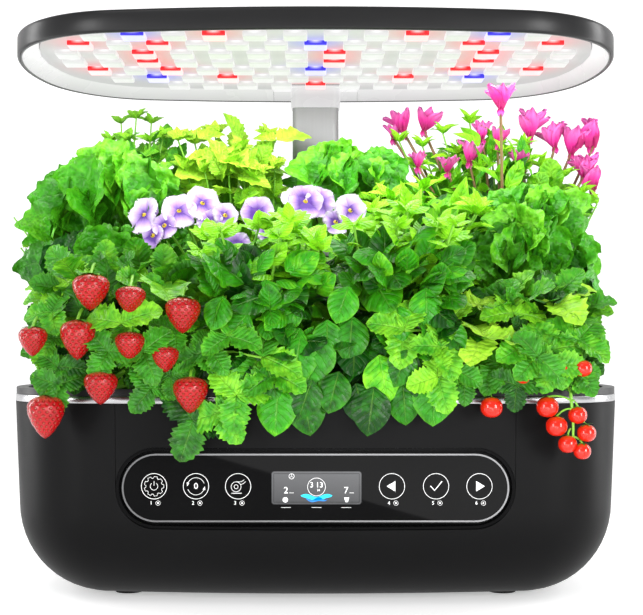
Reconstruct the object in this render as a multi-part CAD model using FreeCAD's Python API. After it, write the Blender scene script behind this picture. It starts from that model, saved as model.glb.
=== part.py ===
"""Countertop hydroponic garden: a bowl-shaped water base with a touch panel, a grow deck with
twelve pods, a pump and a level float, and a lamp hood on a mast that slides up and down.

Millimetres. +Z is up, the front faces -Y, and the origin is the centre of the footprint on
the surface that the feet stand on.
"""
import FreeCAD
import Part
import math
import os

V = FreeCAD.Vector
UP = V(0, 0, 1)

# Outline of the base seen from above: four wide arcs joined by four corner arcs
HALF_WIDTH = 200.0
HALF_DEPTH = 112.0
FRONT_RADIUS = 1000.0
SIDE_RADIUS = 200.0
CORNER_RADIUS = 64.0

# Base shell, standing on its feet
FOOT_HEIGHT = 2.0
FOOT_RADIUS = 9.0
FOOT_X = 122.0
FOOT_Y = 38.0
SHELL_HEIGHT = 123.3
SHELL_WALL = 2.5
SHELL_LEAN = 2.5
FLOOR_CORNER = 4.5
ROUND_STEPS = 4
INSIDE_STEPS = 2
TANK_STEPS = 1
SEAM = 0.2

# Silver band and black rim that close the top of the shell
TRIM_HEIGHT = 4.7
TRIM_WALL = 3.0
RIM_HEIGHT = 4.2
RIM_INSET = 0.4

# Control recess: a long dish with round ends, and the glass in it
RECESS_DROP = 50.9
RECESS_HALF_LENGTH = 121.0
RECESS_HALF_HEIGHT = 24.8
RECESS_SLOPE = 1.6
FASCIA_WALL = 2.2
BEZEL_WALL = 1.6
GLASS_HALF_LENGTH = 116.3
GLASS_HALF_HEIGHT = 19.7
GLASS_THICKNESS = 2.0
GLASS_DEPTH = 13.2
GLASS_FRAME_WIDTH = 1.0
GLASS_FRAME_LIFT = 0.3
GLASS_GAP = 0.1
DISPLAY_WIDTH = 54.4
DISPLAY_HEIGHT = 19.9
DISPLAY_X = 0.6
BOARD_GAP = 2.0
BOARD_THICKNESS = 1.6
BOARD_HALF_LENGTH = 108.0
BOARD_HALF_HEIGHT = 15.0
PILLAR_RADIUS = 2.5
TOUCH_X = (-97.8, -72.4, -46.9, 46.3, 73.0, 99.3)
TOUCH_SPRING_RADIUS = 3.0
TOUCH_HOLE_RADIUS = 4.0

# Water tank hanging by its rim inside the shell
TANK_OFFSET = 6.0
TANK_WALL = 2.0
CONTROL_BAY_DEPTH = 33.0
NICHE_LEFT = -27.0
NICHE_RIGHT = 44.0
NICHE_DEPTH = 34.0
LEDGE_THICKNESS = 2.7
LEDGE_WIDTH = 4.0
LIP_WALL = 2.0

# Grow deck and its pods, four across and three deep
DECK_THICKNESS = 2.5
DECK_GAP = 0.3
RIB_HEIGHT = 4.0
RIB_THICKNESS = 2.0
RIB_Y = 20.0
POD_COLUMNS = 4
POD_ROWS = 3
POD_PORT_GAP = 1.0
BASKET_TOP_RADIUS = 15.0
BASKET_BOTTOM_RADIUS = 11.0
BASKET_DEPTH = 58.0
BASKET_WALL = 1.2
BASKET_FLANGE = 3.0
BASKET_FLANGE_THICKNESS = 1.5
BASKET_HOLE_GAP = 0.4
POD_SIDES = 10
SLOT_WIDTH = 4.0
SLOT_MARGIN = 12.0
SPONGE_GAP = 0.3
SPONGE_BELOW_RIM = 1.5

# Fill port at the right end of the deck, with a hinged cap
PORT_FROM_END = 27.0
PORT_LENGTH_X = 26.0
PORT_LENGTH_Y = 30.0
PORT_WALL = 1.6
PORT_DEPTH = 16.0
PORT_FLANGE = 2.0
PORT_FLANGE_THICKNESS = 1.5
CAP_THICKNESS = 2.0
CAP_GAP = 0.2
CAP_LIP = 1.0
HINGE_RADIUS = 1.9
HINGE_BORE_RADIUS = 0.85
HINGE_PIN_RADIUS = 0.8
HINGE_KNUCKLE = 12.0
HINGE_EAR = 3.5
HINGE_SIDE_GAP = 0.3

# Pump on the tank floor
PUMP_X = 92.0
PUMP_Y = 28.0
PUMP_RADIUS = 18.0
PUMP_HEIGHT = 34.0
STRAINER_THICKNESS = 2.0
STRAINER_STANDOFF = 2.0
STRAINER_HOLE_RADIUS = 1.8
STRAINER_HOLES = 6
STRAINER_FEET = 3
STRAINER_FOOT_RADIUS = 2.5
CHAMBER_RADIUS = 11.0
CHAMBER_HEIGHT = 9.0
ROTOR_WELL_RADIUS = 6.4
ROTOR_WELL_HEIGHT = 17.0
PUMP_SHAFT_RADIUS = 1.0
PUMP_SHAFT_FIT = 0.05
ROTOR_RADIUS = 5.6
IMPELLER_RADIUS = 9.5
IMPELLER_PLATE = 1.6
IMPELLER_GAP = 0.8
BLADE_COUNT = 6
BLADE_THICKNESS = 1.2
OUTLET_X = 13.0
OUTLET_RADIUS = 2.6
RISER_RADIUS = 4.0
RISER_WALL = 1.2
RISER_BELOW_DECK = 12.0
SPRAY_RADIUS = 7.0
SPRAY_HEIGHT = 7.0

# Water level float on its stem
FLOAT_X = -92.0
FLOAT_Y = 28.0
FLOAT_STEM_RADIUS = 4.0
FLOAT_STEM_FOOT = 9.0
FLOAT_RADIUS = 12.0
FLOAT_HEIGHT = 14.0
FLOAT_FIT = 0.3
FLOAT_TRAVEL = 50.0
FLOAT_STOP_RADIUS = 6.5
STEM_FOOT_THICKNESS = 3.0

# Bottom cover and its screws
SCREW_SIDES = 8
COVER_HALF_X = 100.0
COVER_HALF_Y = 30.0
COVER_CORNER = 6.0
COVER_THICKNESS = 1.2
COVER_LEDGE = 6.0
COVER_SCREW_RADIUS = 1.4
COVER_SCREW_HEAD = 2.4
COVER_SCREW_HEAD_HEIGHT = 0.8
COVER_BOSS_RADIUS = 2.8
COVER_BOSS_HEIGHT = 3.0

# Power inlet in the rear wall
JACK_X = 34.0
JACK_Z = 70.0
JACK_BARREL_RADIUS = 4.8
JACK_BORE_RADIUS = 2.8
JACK_PIN_RADIUS = 0.9
JACK_BLOCK = 12.0
JACK_BLOCK_DEPTH = 10.0
JACK_SHOULDER = 1.5
JACK_BACK_WALL = 1.2

# Mast: an inner bar that slides in a sleeve behind the deck
MAST_SETBACK = 20.0
MAST_WIDTH = 34.9
MAST_DEPTH = 17.0
MAST_CORNER = 5.0
MAST_WALL = 1.5
MAST_BOTTOM_Z = 60.0
SLEEVE_WIDTH = 39.5
SLEEVE_DEPTH = 21.0
SLEEVE_WALL = 1.8
SLEEVE_BOTTOM_Z = 48.0
SLEEVE_ABOVE_DECK = 105.5
SLEEVE_HOLE_GAP = 0.5
SLIDE_GAP = 0.1
SOCKET_WALL = 3.0
SOCKET_FLOOR = 2.0
SOCKET_BELOW_EDGE = 5.3
SOCKET_RIB_X = 15.0
SOCKET_RIB_THICKNESS = 3.0
BUSH_WALL = 1.75
BUSH_HEIGHT = 14.0
BUSH_CAP = 6.0
GLIDE_PLATE = 4.0
GLIDE_PLUG = 10.0

# Lamp hood outline, height and walls
HOOD_SIDE_RADIUS = 170.0
HOOD_CORNER_RADIUS = 82.0
HOOD_BOTTOM_Z = 349.9
HOOD_HEIGHT = 13.8
HOOD_WALL = 2.2
HOOD_TOP_THICKNESS = 2.0
HOOD_EDGE = 1.6
TRAY_LIFT = 0.5
TRAY_RIM_INSET = 4.0
TRAY_TOP_INSET = 14.0
TRAY_WALL = 1.5
LED_PLANE_DEPTH = 7.1
LED_BOARD_THICKNESS = 1.6
LED_SIZE = 15.0
LED_HEIGHT = 3.6
LED_PITCH_X = 25.4
LED_PITCH_Y = 24.4
LED_FIRST_Y = -73.0
LED_ROWS = (
    "WBWRWWWWRWBW",
    "RWRWWWBWWWRWR",
    "WWRWWWWRWWWRWW",
    "WWRWWWWRWWWRWW",
    "RWRWWWBWWWRWR",
    "WBWRWWWWRWBW",
    "WWWWRWWWW",
)
MAST_COVER_HALF_X = 32.0
MAST_COVER_FRONT = 10.8
MAST_COVER_THICKNESS = 1.3
COLLAR_WALL = 1.1
COLLAR_DEPTH = 14.9
COLLAR_GAP = 0.1
BRACKET_HALF_X = 29.0
BRACKET_DEPTH = 22.0
BRACKET_THICKNESS = 2.5
BRACKET_PLUG = 16.0
HOOD_SCREW_X = 24.0
HOOD_SCREW_Y = 6.0
HOOD_SCREW_RADIUS = 1.4
HOOD_SCREW_HEAD = 2.8
POST_RADIUS = 3.0
POST_X = (60.0, 150.0)
POST_Y = 36.0

# Plants: stem and the gap that keeps each leaf mass off its neighbours
STEM_RADIUS = 3.0
PLANT_GAP = 0.6
CROWN_SIDES = 12
CROWN_LOBE = 0.16
BERRY_SIDES = 8
BERRY_STANDOFF = 12.6
TOMATO_STANDOFF = 7.6
STALK_RADIUS = 1.2

# Heights and places that follow from the sizes above
BOTTOM_ROUND = CORNER_RADIUS - SHELL_LEAN - FLOOR_CORNER
GLASS_BACK_Y = -HALF_DEPTH + GLASS_DEPTH
TANK_FRONT_Y = -HALF_DEPTH + CONTROL_BAY_DEPTH
NICHE_Y = HALF_DEPTH - NICHE_DEPTH
MAST_Y = HALF_DEPTH - MAST_SETBACK
PORT_X = HALF_WIDTH - PORT_FROM_END
CAP_FRONT_X = PORT_X - PORT_LENGTH_X / 2 - PORT_FLANGE - CAP_LIP
LAST_POD_X = CAP_FRONT_X - POD_PORT_GAP - BASKET_TOP_RADIUS - BASKET_FLANGE
POD_PITCH_X = 2 * LAST_POD_X / (POD_COLUMNS - 1)
POD_PITCH_Y = NICHE_Y - TANK_WALL - BASKET_TOP_RADIUS - BASKET_FLANGE
SHELL_TOP_Z = FOOT_HEIGHT + SHELL_HEIGHT
TRIM_TOP_Z = SHELL_TOP_Z + TRIM_HEIGHT
RIM_TOP_Z = TRIM_TOP_Z + RIM_HEIGHT
LEDGE_TOP_Z = SHELL_TOP_Z + LEDGE_THICKNESS
RECESS_Z = SHELL_TOP_Z - RECESS_DROP
RISER_TOP_Z = LEDGE_TOP_Z - RISER_BELOW_DECK
SOCKET_TOP_Z = SHELL_TOP_Z - SOCKET_BELOW_EDGE
DECK_TOP_Z = LEDGE_TOP_Z + DECK_THICKNESS
SLEEVE_TOP_Z = DECK_TOP_Z + SLEEVE_ABOVE_DECK
GROWING_HEIGHT = HOOD_BOTTOM_Z - DECK_TOP_Z
FLANGE_TOP_Z = DECK_TOP_Z + BASKET_FLANGE_THICKNESS
TANK_FLOOR_Z = FOOT_HEIGHT + TANK_OFFSET + TANK_WALL
BEZEL_BACK_Y = GLASS_BACK_Y + BEZEL_WALL
BOARD_FRONT_Y = BEZEL_BACK_Y + BOARD_GAP
SPONGE_TOP_Z = FLANGE_TOP_Z - SPONGE_BELOW_RIM - BASKET_FLANGE_THICKNESS
HOOD_TOP_Z = HOOD_BOTTOM_Z + HOOD_HEIGHT
HOOD_INSIDE_Z = HOOD_TOP_Z - HOOD_TOP_THICKNESS
LED_PLANE_Z = HOOD_BOTTOM_Z + LED_PLANE_DEPTH
LED_BOARD_TOP_Z = LED_PLANE_Z + LED_BOARD_THICKNESS
BRACKET_BOTTOM_Z = LED_PLANE_Z + GLASS_GAP
BRACKET_TOP_Z = BRACKET_BOTTOM_Z + BRACKET_THICKNESS
MAST_COVER_FRONT_Y = MAST_Y - MAST_COVER_FRONT
BASE_PLAN = (HALF_WIDTH, HALF_DEPTH, FRONT_RADIUS, SIDE_RADIUS, CORNER_RADIUS)
HOOD_PLAN = (HALF_WIDTH, HALF_DEPTH, FRONT_RADIUS, HOOD_SIDE_RADIUS, HOOD_CORNER_RADIUS)


def plan_arcs(plan):
    """Centre, radius, start and end angle of an outline's eight arcs, anticlockwise from +X."""
    half_width, half_depth, front_radius, side_radius, corner_radius = plan
    back = V(0, half_depth - front_radius, 0)
    side = V(half_width - side_radius, 0, 0)
    to_back = front_radius - corner_radius
    to_side = side_radius - corner_radius
    span = side - back
    along = (to_back ** 2 - to_side ** 2 + span.Length ** 2) / (2 * span.Length)
    across = math.sqrt(to_back ** 2 - along ** 2)
    unit = V(span).normalize()
    corner = back + unit * along + V(unit.y, -unit.x, 0) * across
    low = math.atan2(corner.y, corner.x - side.x)
    high = math.atan2(corner.y - back.y, corner.x)
    half_turn = math.pi
    return [
        (side, side_radius, -low, low),
        (corner, corner_radius, low, high),
        (back, front_radius, high, half_turn - high),
        (V(-corner.x, corner.y, 0), corner_radius, half_turn - high, half_turn - low),
        (-side, side_radius, half_turn - low, half_turn + low),
        (-corner, corner_radius, half_turn + low, half_turn + high),
        (-back, front_radius, half_turn + high, 2 * half_turn - high),
        (V(corner.x, -corner.y, 0), corner_radius, 2 * half_turn - high, 2 * half_turn - low),
    ]


def arc_point(centre, radius, angle, height):
    """Point on an arc of the outline, at a height."""
    return centre + V(radius * math.cos(angle), radius * math.sin(angle), height)


def plan_face(plan, inset, height):
    """Flat face inside the outline, drawn in by inset."""
    edges = []
    for centre, radius, start, end in plan_arcs(plan):
        angles = (start, (start + end) / 2, end)
        points = [arc_point(centre, radius - inset, angle, height) for angle in angles]
        edges.append(Part.Arc(*points).toShape())
    return Part.Face(Part.Wire(edges))


def plan_solid(plan, profile):
    """Solid whose wall follows (inset, height) pairs from the bottom face to the top face."""
    faces = [plan_face(plan, *profile[0]), plan_face(plan, *profile[-1])]
    for centre, radius, start, end in plan_arcs(plan):
        points = [arc_point(centre, radius - inset, start, height) for inset, height in profile]
        wall = Part.makePolygon(points).revolve(centre, UP, math.degrees(end - start))
        faces.extend(wall.Faces)
    shell = Part.Compound(faces)
    shell.sewShape()
    solid = Part.Solid(shell.Shells[0])
    if solid.Volume < 0:
        solid.reverse()
    return solid


def slab(plan, inset, low, high):
    """Plate with upright edges inside the outline."""
    return plan_solid(plan, [(inset, low), (inset, high)])


def ring(plan, outer_inset, inner_inset, low, high):
    """Upright band that follows the outline."""
    return slab(plan, outer_inset, low, high).cut(slab(plan, inner_inset, low, high))


def bowl(offset, steps):
    """Solid bowl whose surface lies offset inside the outer surface of the base."""
    centre_inset = SHELL_LEAN + BOTTOM_ROUND
    centre_z = FOOT_HEIGHT + BOTTOM_ROUND
    radius = BOTTOM_ROUND - offset
    profile = []
    for step in range(steps + 1):
        turn = math.radians(90.0 * (1.0 - step / steps))
        inset = centre_inset - radius * math.cos(turn)
        profile.append((inset, centre_z - radius * math.sin(turn)))
    profile.append((offset, SHELL_TOP_Z))
    return plan_solid(BASE_PLAN, profile)


def box(low_x, high_x, low_y, high_y, low_z, high_z):
    """Box between two corners."""
    return Part.makeBox(high_x - low_x, high_y - low_y, high_z - low_z, V(low_x, low_y, low_z))


def post(radius, x, y, low, high):
    """Upright round bar."""
    return Part.makeCylinder(radius, high - low, V(x, y, low))


def prism(sides, radius, x, y, low, high):
    """Upright bar with flat sides."""
    return faceted([circle_points(sides, radius, V(x, y, height)) for height in (low, high)])


def circle_points(sides, radius, centre):
    """Evenly spaced points on a level circle, the first flat facing +X."""
    angles = [2 * math.pi * (k + 0.5) / sides for k in range(sides)]
    return [centre + V(radius * math.cos(angle), radius * math.sin(angle), 0) for angle in angles]


def deep_prism(radius, x, z, front, back):
    """Eight-sided bar along the depth of the garden."""
    bar = prism(SCREW_SIDES, radius, 0, 0, 0, back - front)
    bar.rotate(V(0, 0, 0), V(1, 0, 0), -90)
    bar.translate(V(x, front, z))
    return bar


def flat_turned(sides, profile, x, y):
    """Body with flat sides about an upright axis, from (radius, height) pairs."""
    return faceted([circle_points(sides, radius, V(x, y, height)) for radius, height in profile])


def rounded_bar(width, depth, corner, x, y, low, high):
    """Upright bar of rounded rectangular section."""
    bar = box(x - width / 2, x + width / 2, y - depth / 2, y + depth / 2, low, high)
    upright = [edge for edge in bar.Edges if abs(edge.Vertexes[0].Z - edge.Vertexes[-1].Z) > 0.5]
    return bar.makeFillet(corner, upright)


def stadium_wire(half_length, half_height, y):
    """Long outline with round ends, facing the front, at a depth y."""
    flat = half_length - half_height
    top = RECESS_Z + half_height
    bottom = RECESS_Z - half_height
    return Part.Wire([
        Part.LineSegment(V(-flat, y, top), V(flat, y, top)).toShape(),
        Part.Arc(V(flat, y, top), V(half_length, y, RECESS_Z), V(flat, y, bottom)).toShape(),
        Part.LineSegment(V(flat, y, bottom), V(-flat, y, bottom)).toShape(),
        Part.Arc(V(-flat, y, bottom), V(-half_length, y, RECESS_Z), V(-flat, y, top)).toShape(),
    ])


def stadium(half_length, half_height, front, back):
    """Long bar with round ends between two depths."""
    face = Part.Face(stadium_wire(half_length, half_height, front))
    return face.extrude(V(0, back - front, 0))


def fascia_opening(gap, low_z):
    """U-shaped block that the fascia and the dish take up in the front wall."""
    half = RECESS_HALF_LENGTH - gap
    front = -HALF_DEPTH - SHELL_WALL
    block = box(-half, half, front, TANK_FRONT_Y, low_z, SHELL_TOP_Z)
    return block.fuse(stadium(half, RECESS_HALF_HEIGHT - gap, front, TANK_FRONT_Y))


def turned(profile, x, y):
    """Body turned about an upright axis from (radius, height) pairs."""
    points = [V(x + radius, y, height) for radius, height in profile]
    face = Part.Face(Part.makePolygon(points + [points[0]]))
    return face.revolve(V(x, y, 0), UP, 360)


def flat_faces(points):
    """One flat face through a loop of four points, or two triangles where they are not flat."""
    a, b, c, d = points
    if abs((b - a).cross(c - a).dot(d - a)) < 0.001:
        return [Part.Face(Part.makePolygon([a, b, c, d, a]))]
    return [Part.Face(Part.makePolygon([a, b, c, a])), Part.Face(Part.makePolygon([a, c, d, a]))]


def faceted(rings):
    """Closed body of flat faces through level rings of points with equal counts."""
    count = len(rings[0])
    faces = [Part.Face(Part.makePolygon(end + [end[0]])) for end in (rings[0], rings[-1])]
    for lower, upper in zip(rings, rings[1:]):
        for k in range(count):
            m = (k + 1) % count
            faces.extend(flat_faces([lower[k], lower[m], upper[m], upper[k]]))
    shell = Part.Compound(faces)
    shell.sewShape()
    solid = Part.Solid(shell.Shells[0])
    if solid.Volume < 0:
        solid.reverse()
    return solid


def pod_sites(row):
    """Centres of one row of pods, left to right."""
    y = (row - (POD_ROWS - 1) / 2) * POD_PITCH_Y
    return [((column - (POD_COLUMNS - 1) / 2) * POD_PITCH_X, y) for column in range(POD_COLUMNS)]


def all_pod_sites():
    """Centres of every pod."""
    return [site for row in range(POD_ROWS) for site in pod_sites(row)]


def cover_outline(shrink, low, high):
    """Rounded plate in the middle of the base's floor."""
    width = 2 * (COVER_HALF_X - shrink)
    depth = 2 * (COVER_HALF_Y - shrink)
    return rounded_bar(width, depth, COVER_CORNER - shrink / 2, 0, 0, low, high)


def cover_screw_sites():
    """Six screws along the long edges of the bottom cover."""
    y = COVER_HALF_Y - COVER_LEDGE / 2
    x = COVER_HALF_X - 2 * COVER_LEDGE
    return [(side * x * place, end * y) for end in (-1, 1) for side, place in ((-1, 1), (1, 0), (1, 1))]


def make_base_shell():
    """Moulded outer shell with openings for the fascia, the bottom cover and the inlet."""
    shell = bowl(0, ROUND_STEPS).cut(bowl(SHELL_WALL, INSIDE_STEPS))
    shell = shell.cut(fascia_opening(0, RECESS_Z))
    floor_top = FOOT_HEIGHT + SHELL_WALL
    seat = FOOT_HEIGHT + COVER_THICKNESS
    shell = shell.cut(cover_outline(0, FOOT_HEIGHT, seat))
    shell = shell.cut(cover_outline(COVER_LEDGE, FOOT_HEIGHT, floor_top))
    for x, y in cover_screw_sites():
        shell = shell.fuse(prism(SCREW_SIDES, COVER_BOSS_RADIUS, x, y, seat, floor_top + COVER_BOSS_HEIGHT))
        shell = shell.cut(prism(SCREW_SIDES, COVER_SCREW_RADIUS, x, y, FOOT_HEIGHT, floor_top + COVER_BOSS_HEIGHT))
    return shell.cut(jack_cylinder(JACK_BARREL_RADIUS + SEAM, MAST_Y, HALF_DEPTH))


def jack_cylinder(radius, front, back):
    """Round bar along the axis of the power inlet."""
    return Part.makeCylinder(radius, back - front, V(JACK_X, front, JACK_Z), V(0, 1, 0))


def make_front_fascia():
    """Panel above the dish, flush with the shell."""
    skin = bowl(0, ROUND_STEPS).cut(bowl(FASCIA_WALL, ROUND_STEPS))
    panel = skin.common(fascia_opening(SEAM, RECESS_Z))
    front = -HALF_DEPTH - SHELL_WALL
    dish = stadium(RECESS_HALF_LENGTH, RECESS_HALF_HEIGHT, front, TANK_FRONT_Y)
    lower = box(-HALF_WIDTH, HALF_WIDTH, front, TANK_FRONT_Y, FOOT_HEIGHT, RECESS_Z)
    return panel.cut(dish).cut(lower)


def make_control_bezel():
    """Dish with a sloping wall, a floor for the glass and pillars for the board."""
    half_length = RECESS_HALF_LENGTH - SEAM
    half_height = RECESS_HALF_HEIGHT - SEAM
    front = -HALF_DEPTH - SHELL_WALL
    dish = stadium(half_length, half_height, front, BEZEL_BACK_Y)
    dish = dish.common(bowl(0, ROUND_STEPS))
    mouth = BEZEL_WALL / 2
    floor = mouth + RECESS_SLOPE
    flat = half_length - half_height
    depth = GLASS_BACK_Y - front
    for side in (-1, 1):
        end = V(side * flat, front, RECESS_Z)
        dish = dish.cut(Part.makeCone(half_height - mouth, half_height - floor, depth, end, V(0, 1, 0)))
    section = Part.makePolygon([
        V(-flat, front, RECESS_Z - half_height + mouth), V(-flat, GLASS_BACK_Y, RECESS_Z - half_height + floor),
        V(-flat, GLASS_BACK_Y, RECESS_Z + half_height - floor), V(-flat, front, RECESS_Z + half_height - mouth),
        V(-flat, front, RECESS_Z - half_height + mouth)])
    dish = dish.cut(Part.Face(section).extrude(V(2 * flat, 0, 0)))
    window = display_box(GLASS_GAP * 4, GLASS_BACK_Y, BEZEL_BACK_Y)
    dish = dish.cut(window)
    for x in TOUCH_X:
        dish = dish.cut(deep_prism(TOUCH_HOLE_RADIUS, x, RECESS_Z, GLASS_BACK_Y, BEZEL_BACK_Y))
    pillar_x = BOARD_HALF_LENGTH - PILLAR_RADIUS
    pillar_z = BOARD_HALF_HEIGHT - PILLAR_RADIUS
    for x in (-pillar_x, 0, pillar_x):
        for z in (-pillar_z, pillar_z):
            dish = dish.fuse(deep_prism(PILLAR_RADIUS, x, RECESS_Z + z, BEZEL_BACK_Y, BOARD_FRONT_Y))
    return dish


def display_box(grow, front, back):
    """Box of the display's size between two depths."""
    half_width = DISPLAY_WIDTH / 2 + grow
    half_height = DISPLAY_HEIGHT / 2 + grow
    return box(DISPLAY_X - half_width, DISPLAY_X + half_width, front, back,
               RECESS_Z - half_height, RECESS_Z + half_height)


def make_glass_frame():
    """Thin bright frame round the glass."""
    front = GLASS_BACK_Y - GLASS_THICKNESS - GLASS_FRAME_LIFT
    half_length = GLASS_HALF_LENGTH + GLASS_FRAME_WIDTH
    half_height = GLASS_HALF_HEIGHT + GLASS_FRAME_WIDTH
    outer = stadium(half_length, half_height, front, GLASS_BACK_Y)
    return outer.cut(stadium(GLASS_HALF_LENGTH, GLASS_HALF_HEIGHT, front, GLASS_BACK_Y))


def make_touch_panel():
    """Sheet of glass that carries the touch fields."""
    front = GLASS_BACK_Y - GLASS_THICKNESS
    return stadium(GLASS_HALF_LENGTH - GLASS_GAP, GLASS_HALF_HEIGHT - GLASS_GAP, front, GLASS_BACK_Y)


def make_lcd_module():
    """Display behind the glass, standing on the board."""
    return display_box(0, GLASS_BACK_Y, BOARD_FRONT_Y)


def make_control_board():
    """Circuit board on the dish's pillars."""
    return box(-BOARD_HALF_LENGTH, BOARD_HALF_LENGTH, BOARD_FRONT_Y, BOARD_FRONT_Y + BOARD_THICKNESS,
               RECESS_Z - BOARD_HALF_HEIGHT, RECESS_Z + BOARD_HALF_HEIGHT)


def make_touch_springs():
    """Contacts that press on the back of the glass, one behind each touch field."""
    return Part.Compound([
        deep_prism(TOUCH_SPRING_RADIUS, x, RECESS_Z, GLASS_BACK_Y, BOARD_FRONT_Y) for x in TOUCH_X])


def make_trim_band():
    """Silver band on the shell's edge."""
    return ring(BASE_PLAN, 0, TRIM_WALL, SHELL_TOP_Z, TRIM_TOP_Z)


def tank_space(shape, grow):
    """Take away what the tank leaves free for the controls in front and the mast behind."""
    bay = box(-HALF_WIDTH, HALF_WIDTH, -HALF_DEPTH - TANK_WALL, TANK_FRONT_Y + grow, 0, HOOD_BOTTOM_Z)
    niche = box(NICHE_LEFT - grow, NICHE_RIGHT + grow, NICHE_Y - grow, HALF_DEPTH + TANK_WALL, 0, HOOD_BOTTOM_Z)
    return shape.cut(bay).cut(niche)


def mast_hole(gap, low, high):
    """Block that leaves the sleeve free where it passes a plate."""
    width = SLEEVE_WIDTH + 2 * gap
    depth = SLEEVE_DEPTH + 2 * gap
    return rounded_bar(width, depth, MAST_CORNER + gap, 0, MAST_Y, low, high)


def make_water_tank():
    """Tank that hangs in the shell by its rim, with a ledge for the deck."""
    tank = tank_space(bowl(TANK_OFFSET, TANK_STEPS), 0)
    tank = tank.cut(tank_space(bowl(TANK_OFFSET + TANK_WALL, TANK_STEPS), TANK_WALL))
    inside = TANK_OFFSET + TANK_WALL + LEDGE_WIDTH
    ledge = slab(BASE_PLAN, TANK_OFFSET, SHELL_TOP_Z, LEDGE_TOP_Z)
    ledge = ledge.cut(tank_space(slab(BASE_PLAN, inside, SHELL_TOP_Z, LEDGE_TOP_Z), LEDGE_WIDTH))
    ledge = ledge.cut(mast_hole(SLEEVE_HOLE_GAP, SHELL_TOP_Z, LEDGE_TOP_Z))
    lip_inset = TANK_OFFSET + LIP_WALL
    lip = ring(BASE_PLAN, TANK_OFFSET, lip_inset, LEDGE_TOP_Z, TRIM_TOP_Z)
    rim = ring(BASE_PLAN, RIM_INSET, lip_inset, TRIM_TOP_Z, RIM_TOP_Z)
    return tank.fuse([ledge, lip, rim])


def make_grow_deck():
    """Plate with the pod holes, stiffened by two ribs underneath."""
    inset = TANK_OFFSET + LIP_WALL + DECK_GAP
    deck = slab(BASE_PLAN, inset, LEDGE_TOP_Z, DECK_TOP_Z)
    rib_end = PORT_X - PORT_LENGTH_X / 2 - BASKET_FLANGE
    for y in (-RIB_Y, RIB_Y):
        low = LEDGE_TOP_Z - RIB_HEIGHT
        deck = deck.fuse(box(-rib_end, rib_end, y - RIB_THICKNESS / 2, y + RIB_THICKNESS / 2, low, LEDGE_TOP_Z))
    for x, y in all_pod_sites():
        hole = BASKET_TOP_RADIUS + BASKET_HOLE_GAP
        deck = deck.cut(prism(POD_SIDES, hole, x, y, LEDGE_TOP_Z, DECK_TOP_Z))
    half_x = PORT_LENGTH_X / 2 + SEAM
    half_y = PORT_LENGTH_Y / 2 + SEAM
    deck = deck.cut(box(PORT_X - half_x, PORT_X + half_x, -half_y, half_y, LEDGE_TOP_Z, DECK_TOP_Z))
    width = SLEEVE_WIDTH / 2 + SLEEVE_HOLE_GAP
    front = MAST_Y - SLEEVE_DEPTH / 2 - SLEEVE_HOLE_GAP
    return deck.cut(box(-width, width, front, HALF_DEPTH, LEDGE_TOP_Z, DECK_TOP_Z))


def make_basket(x, y):
    """Tapered net basket with a flange and four slots."""
    bottom = DECK_TOP_Z - BASKET_DEPTH
    wall = BASKET_WALL
    basket = flat_turned(POD_SIDES, [
        (BASKET_BOTTOM_RADIUS, bottom), (BASKET_TOP_RADIUS, DECK_TOP_Z),
        (BASKET_TOP_RADIUS + BASKET_FLANGE, DECK_TOP_Z), (BASKET_TOP_RADIUS + BASKET_FLANGE, FLANGE_TOP_Z),
        (BASKET_TOP_RADIUS - wall, FLANGE_TOP_Z), (BASKET_BOTTOM_RADIUS - wall, bottom + wall)], x, y)
    low = bottom + SLOT_MARGIN
    high = DECK_TOP_Z - SLOT_MARGIN
    reach = BASKET_TOP_RADIUS
    half = SLOT_WIDTH / 2
    slots = box(x - reach, x + reach, y - half, y + half, low, high)
    slots = slots.fuse(box(x - half, x + half, y - reach, y + reach, low, high))
    return basket.cut(slots)


def make_baskets(row):
    """One row of baskets."""
    return Part.Compound([make_basket(x, y) for x, y in pod_sites(row)])


def make_grow_sponges():
    """Tapered sponge in every basket."""
    low = DECK_TOP_Z - BASKET_DEPTH + BASKET_WALL
    wall = BASKET_WALL + SPONGE_GAP
    taper = (BASKET_TOP_RADIUS - BASKET_BOTTOM_RADIUS) / BASKET_DEPTH
    low_radius = BASKET_BOTTOM_RADIUS - wall
    high_radius = low_radius + taper * (SPONGE_TOP_Z - low)
    profile = [(low_radius, low), (high_radius, SPONGE_TOP_Z)]
    return Part.Compound([flat_turned(POD_SIDES, profile, x, y) for x, y in all_pod_sites()])


def hinge_axis():
    """Axis of the fill cap: its x and z."""
    x = PORT_X + PORT_LENGTH_X / 2 + PORT_FLANGE + SEAM
    z = DECK_TOP_Z + PORT_FLANGE_THICKNESS + HINGE_RADIUS
    return x, z


def hinge_bar(radius, low_y, high_y):
    """Round bar along the cap's hinge axis."""
    x, z = hinge_axis()
    return Part.makeCylinder(radius, high_y - low_y, V(x, low_y, z), V(0, 1, 0))


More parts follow.
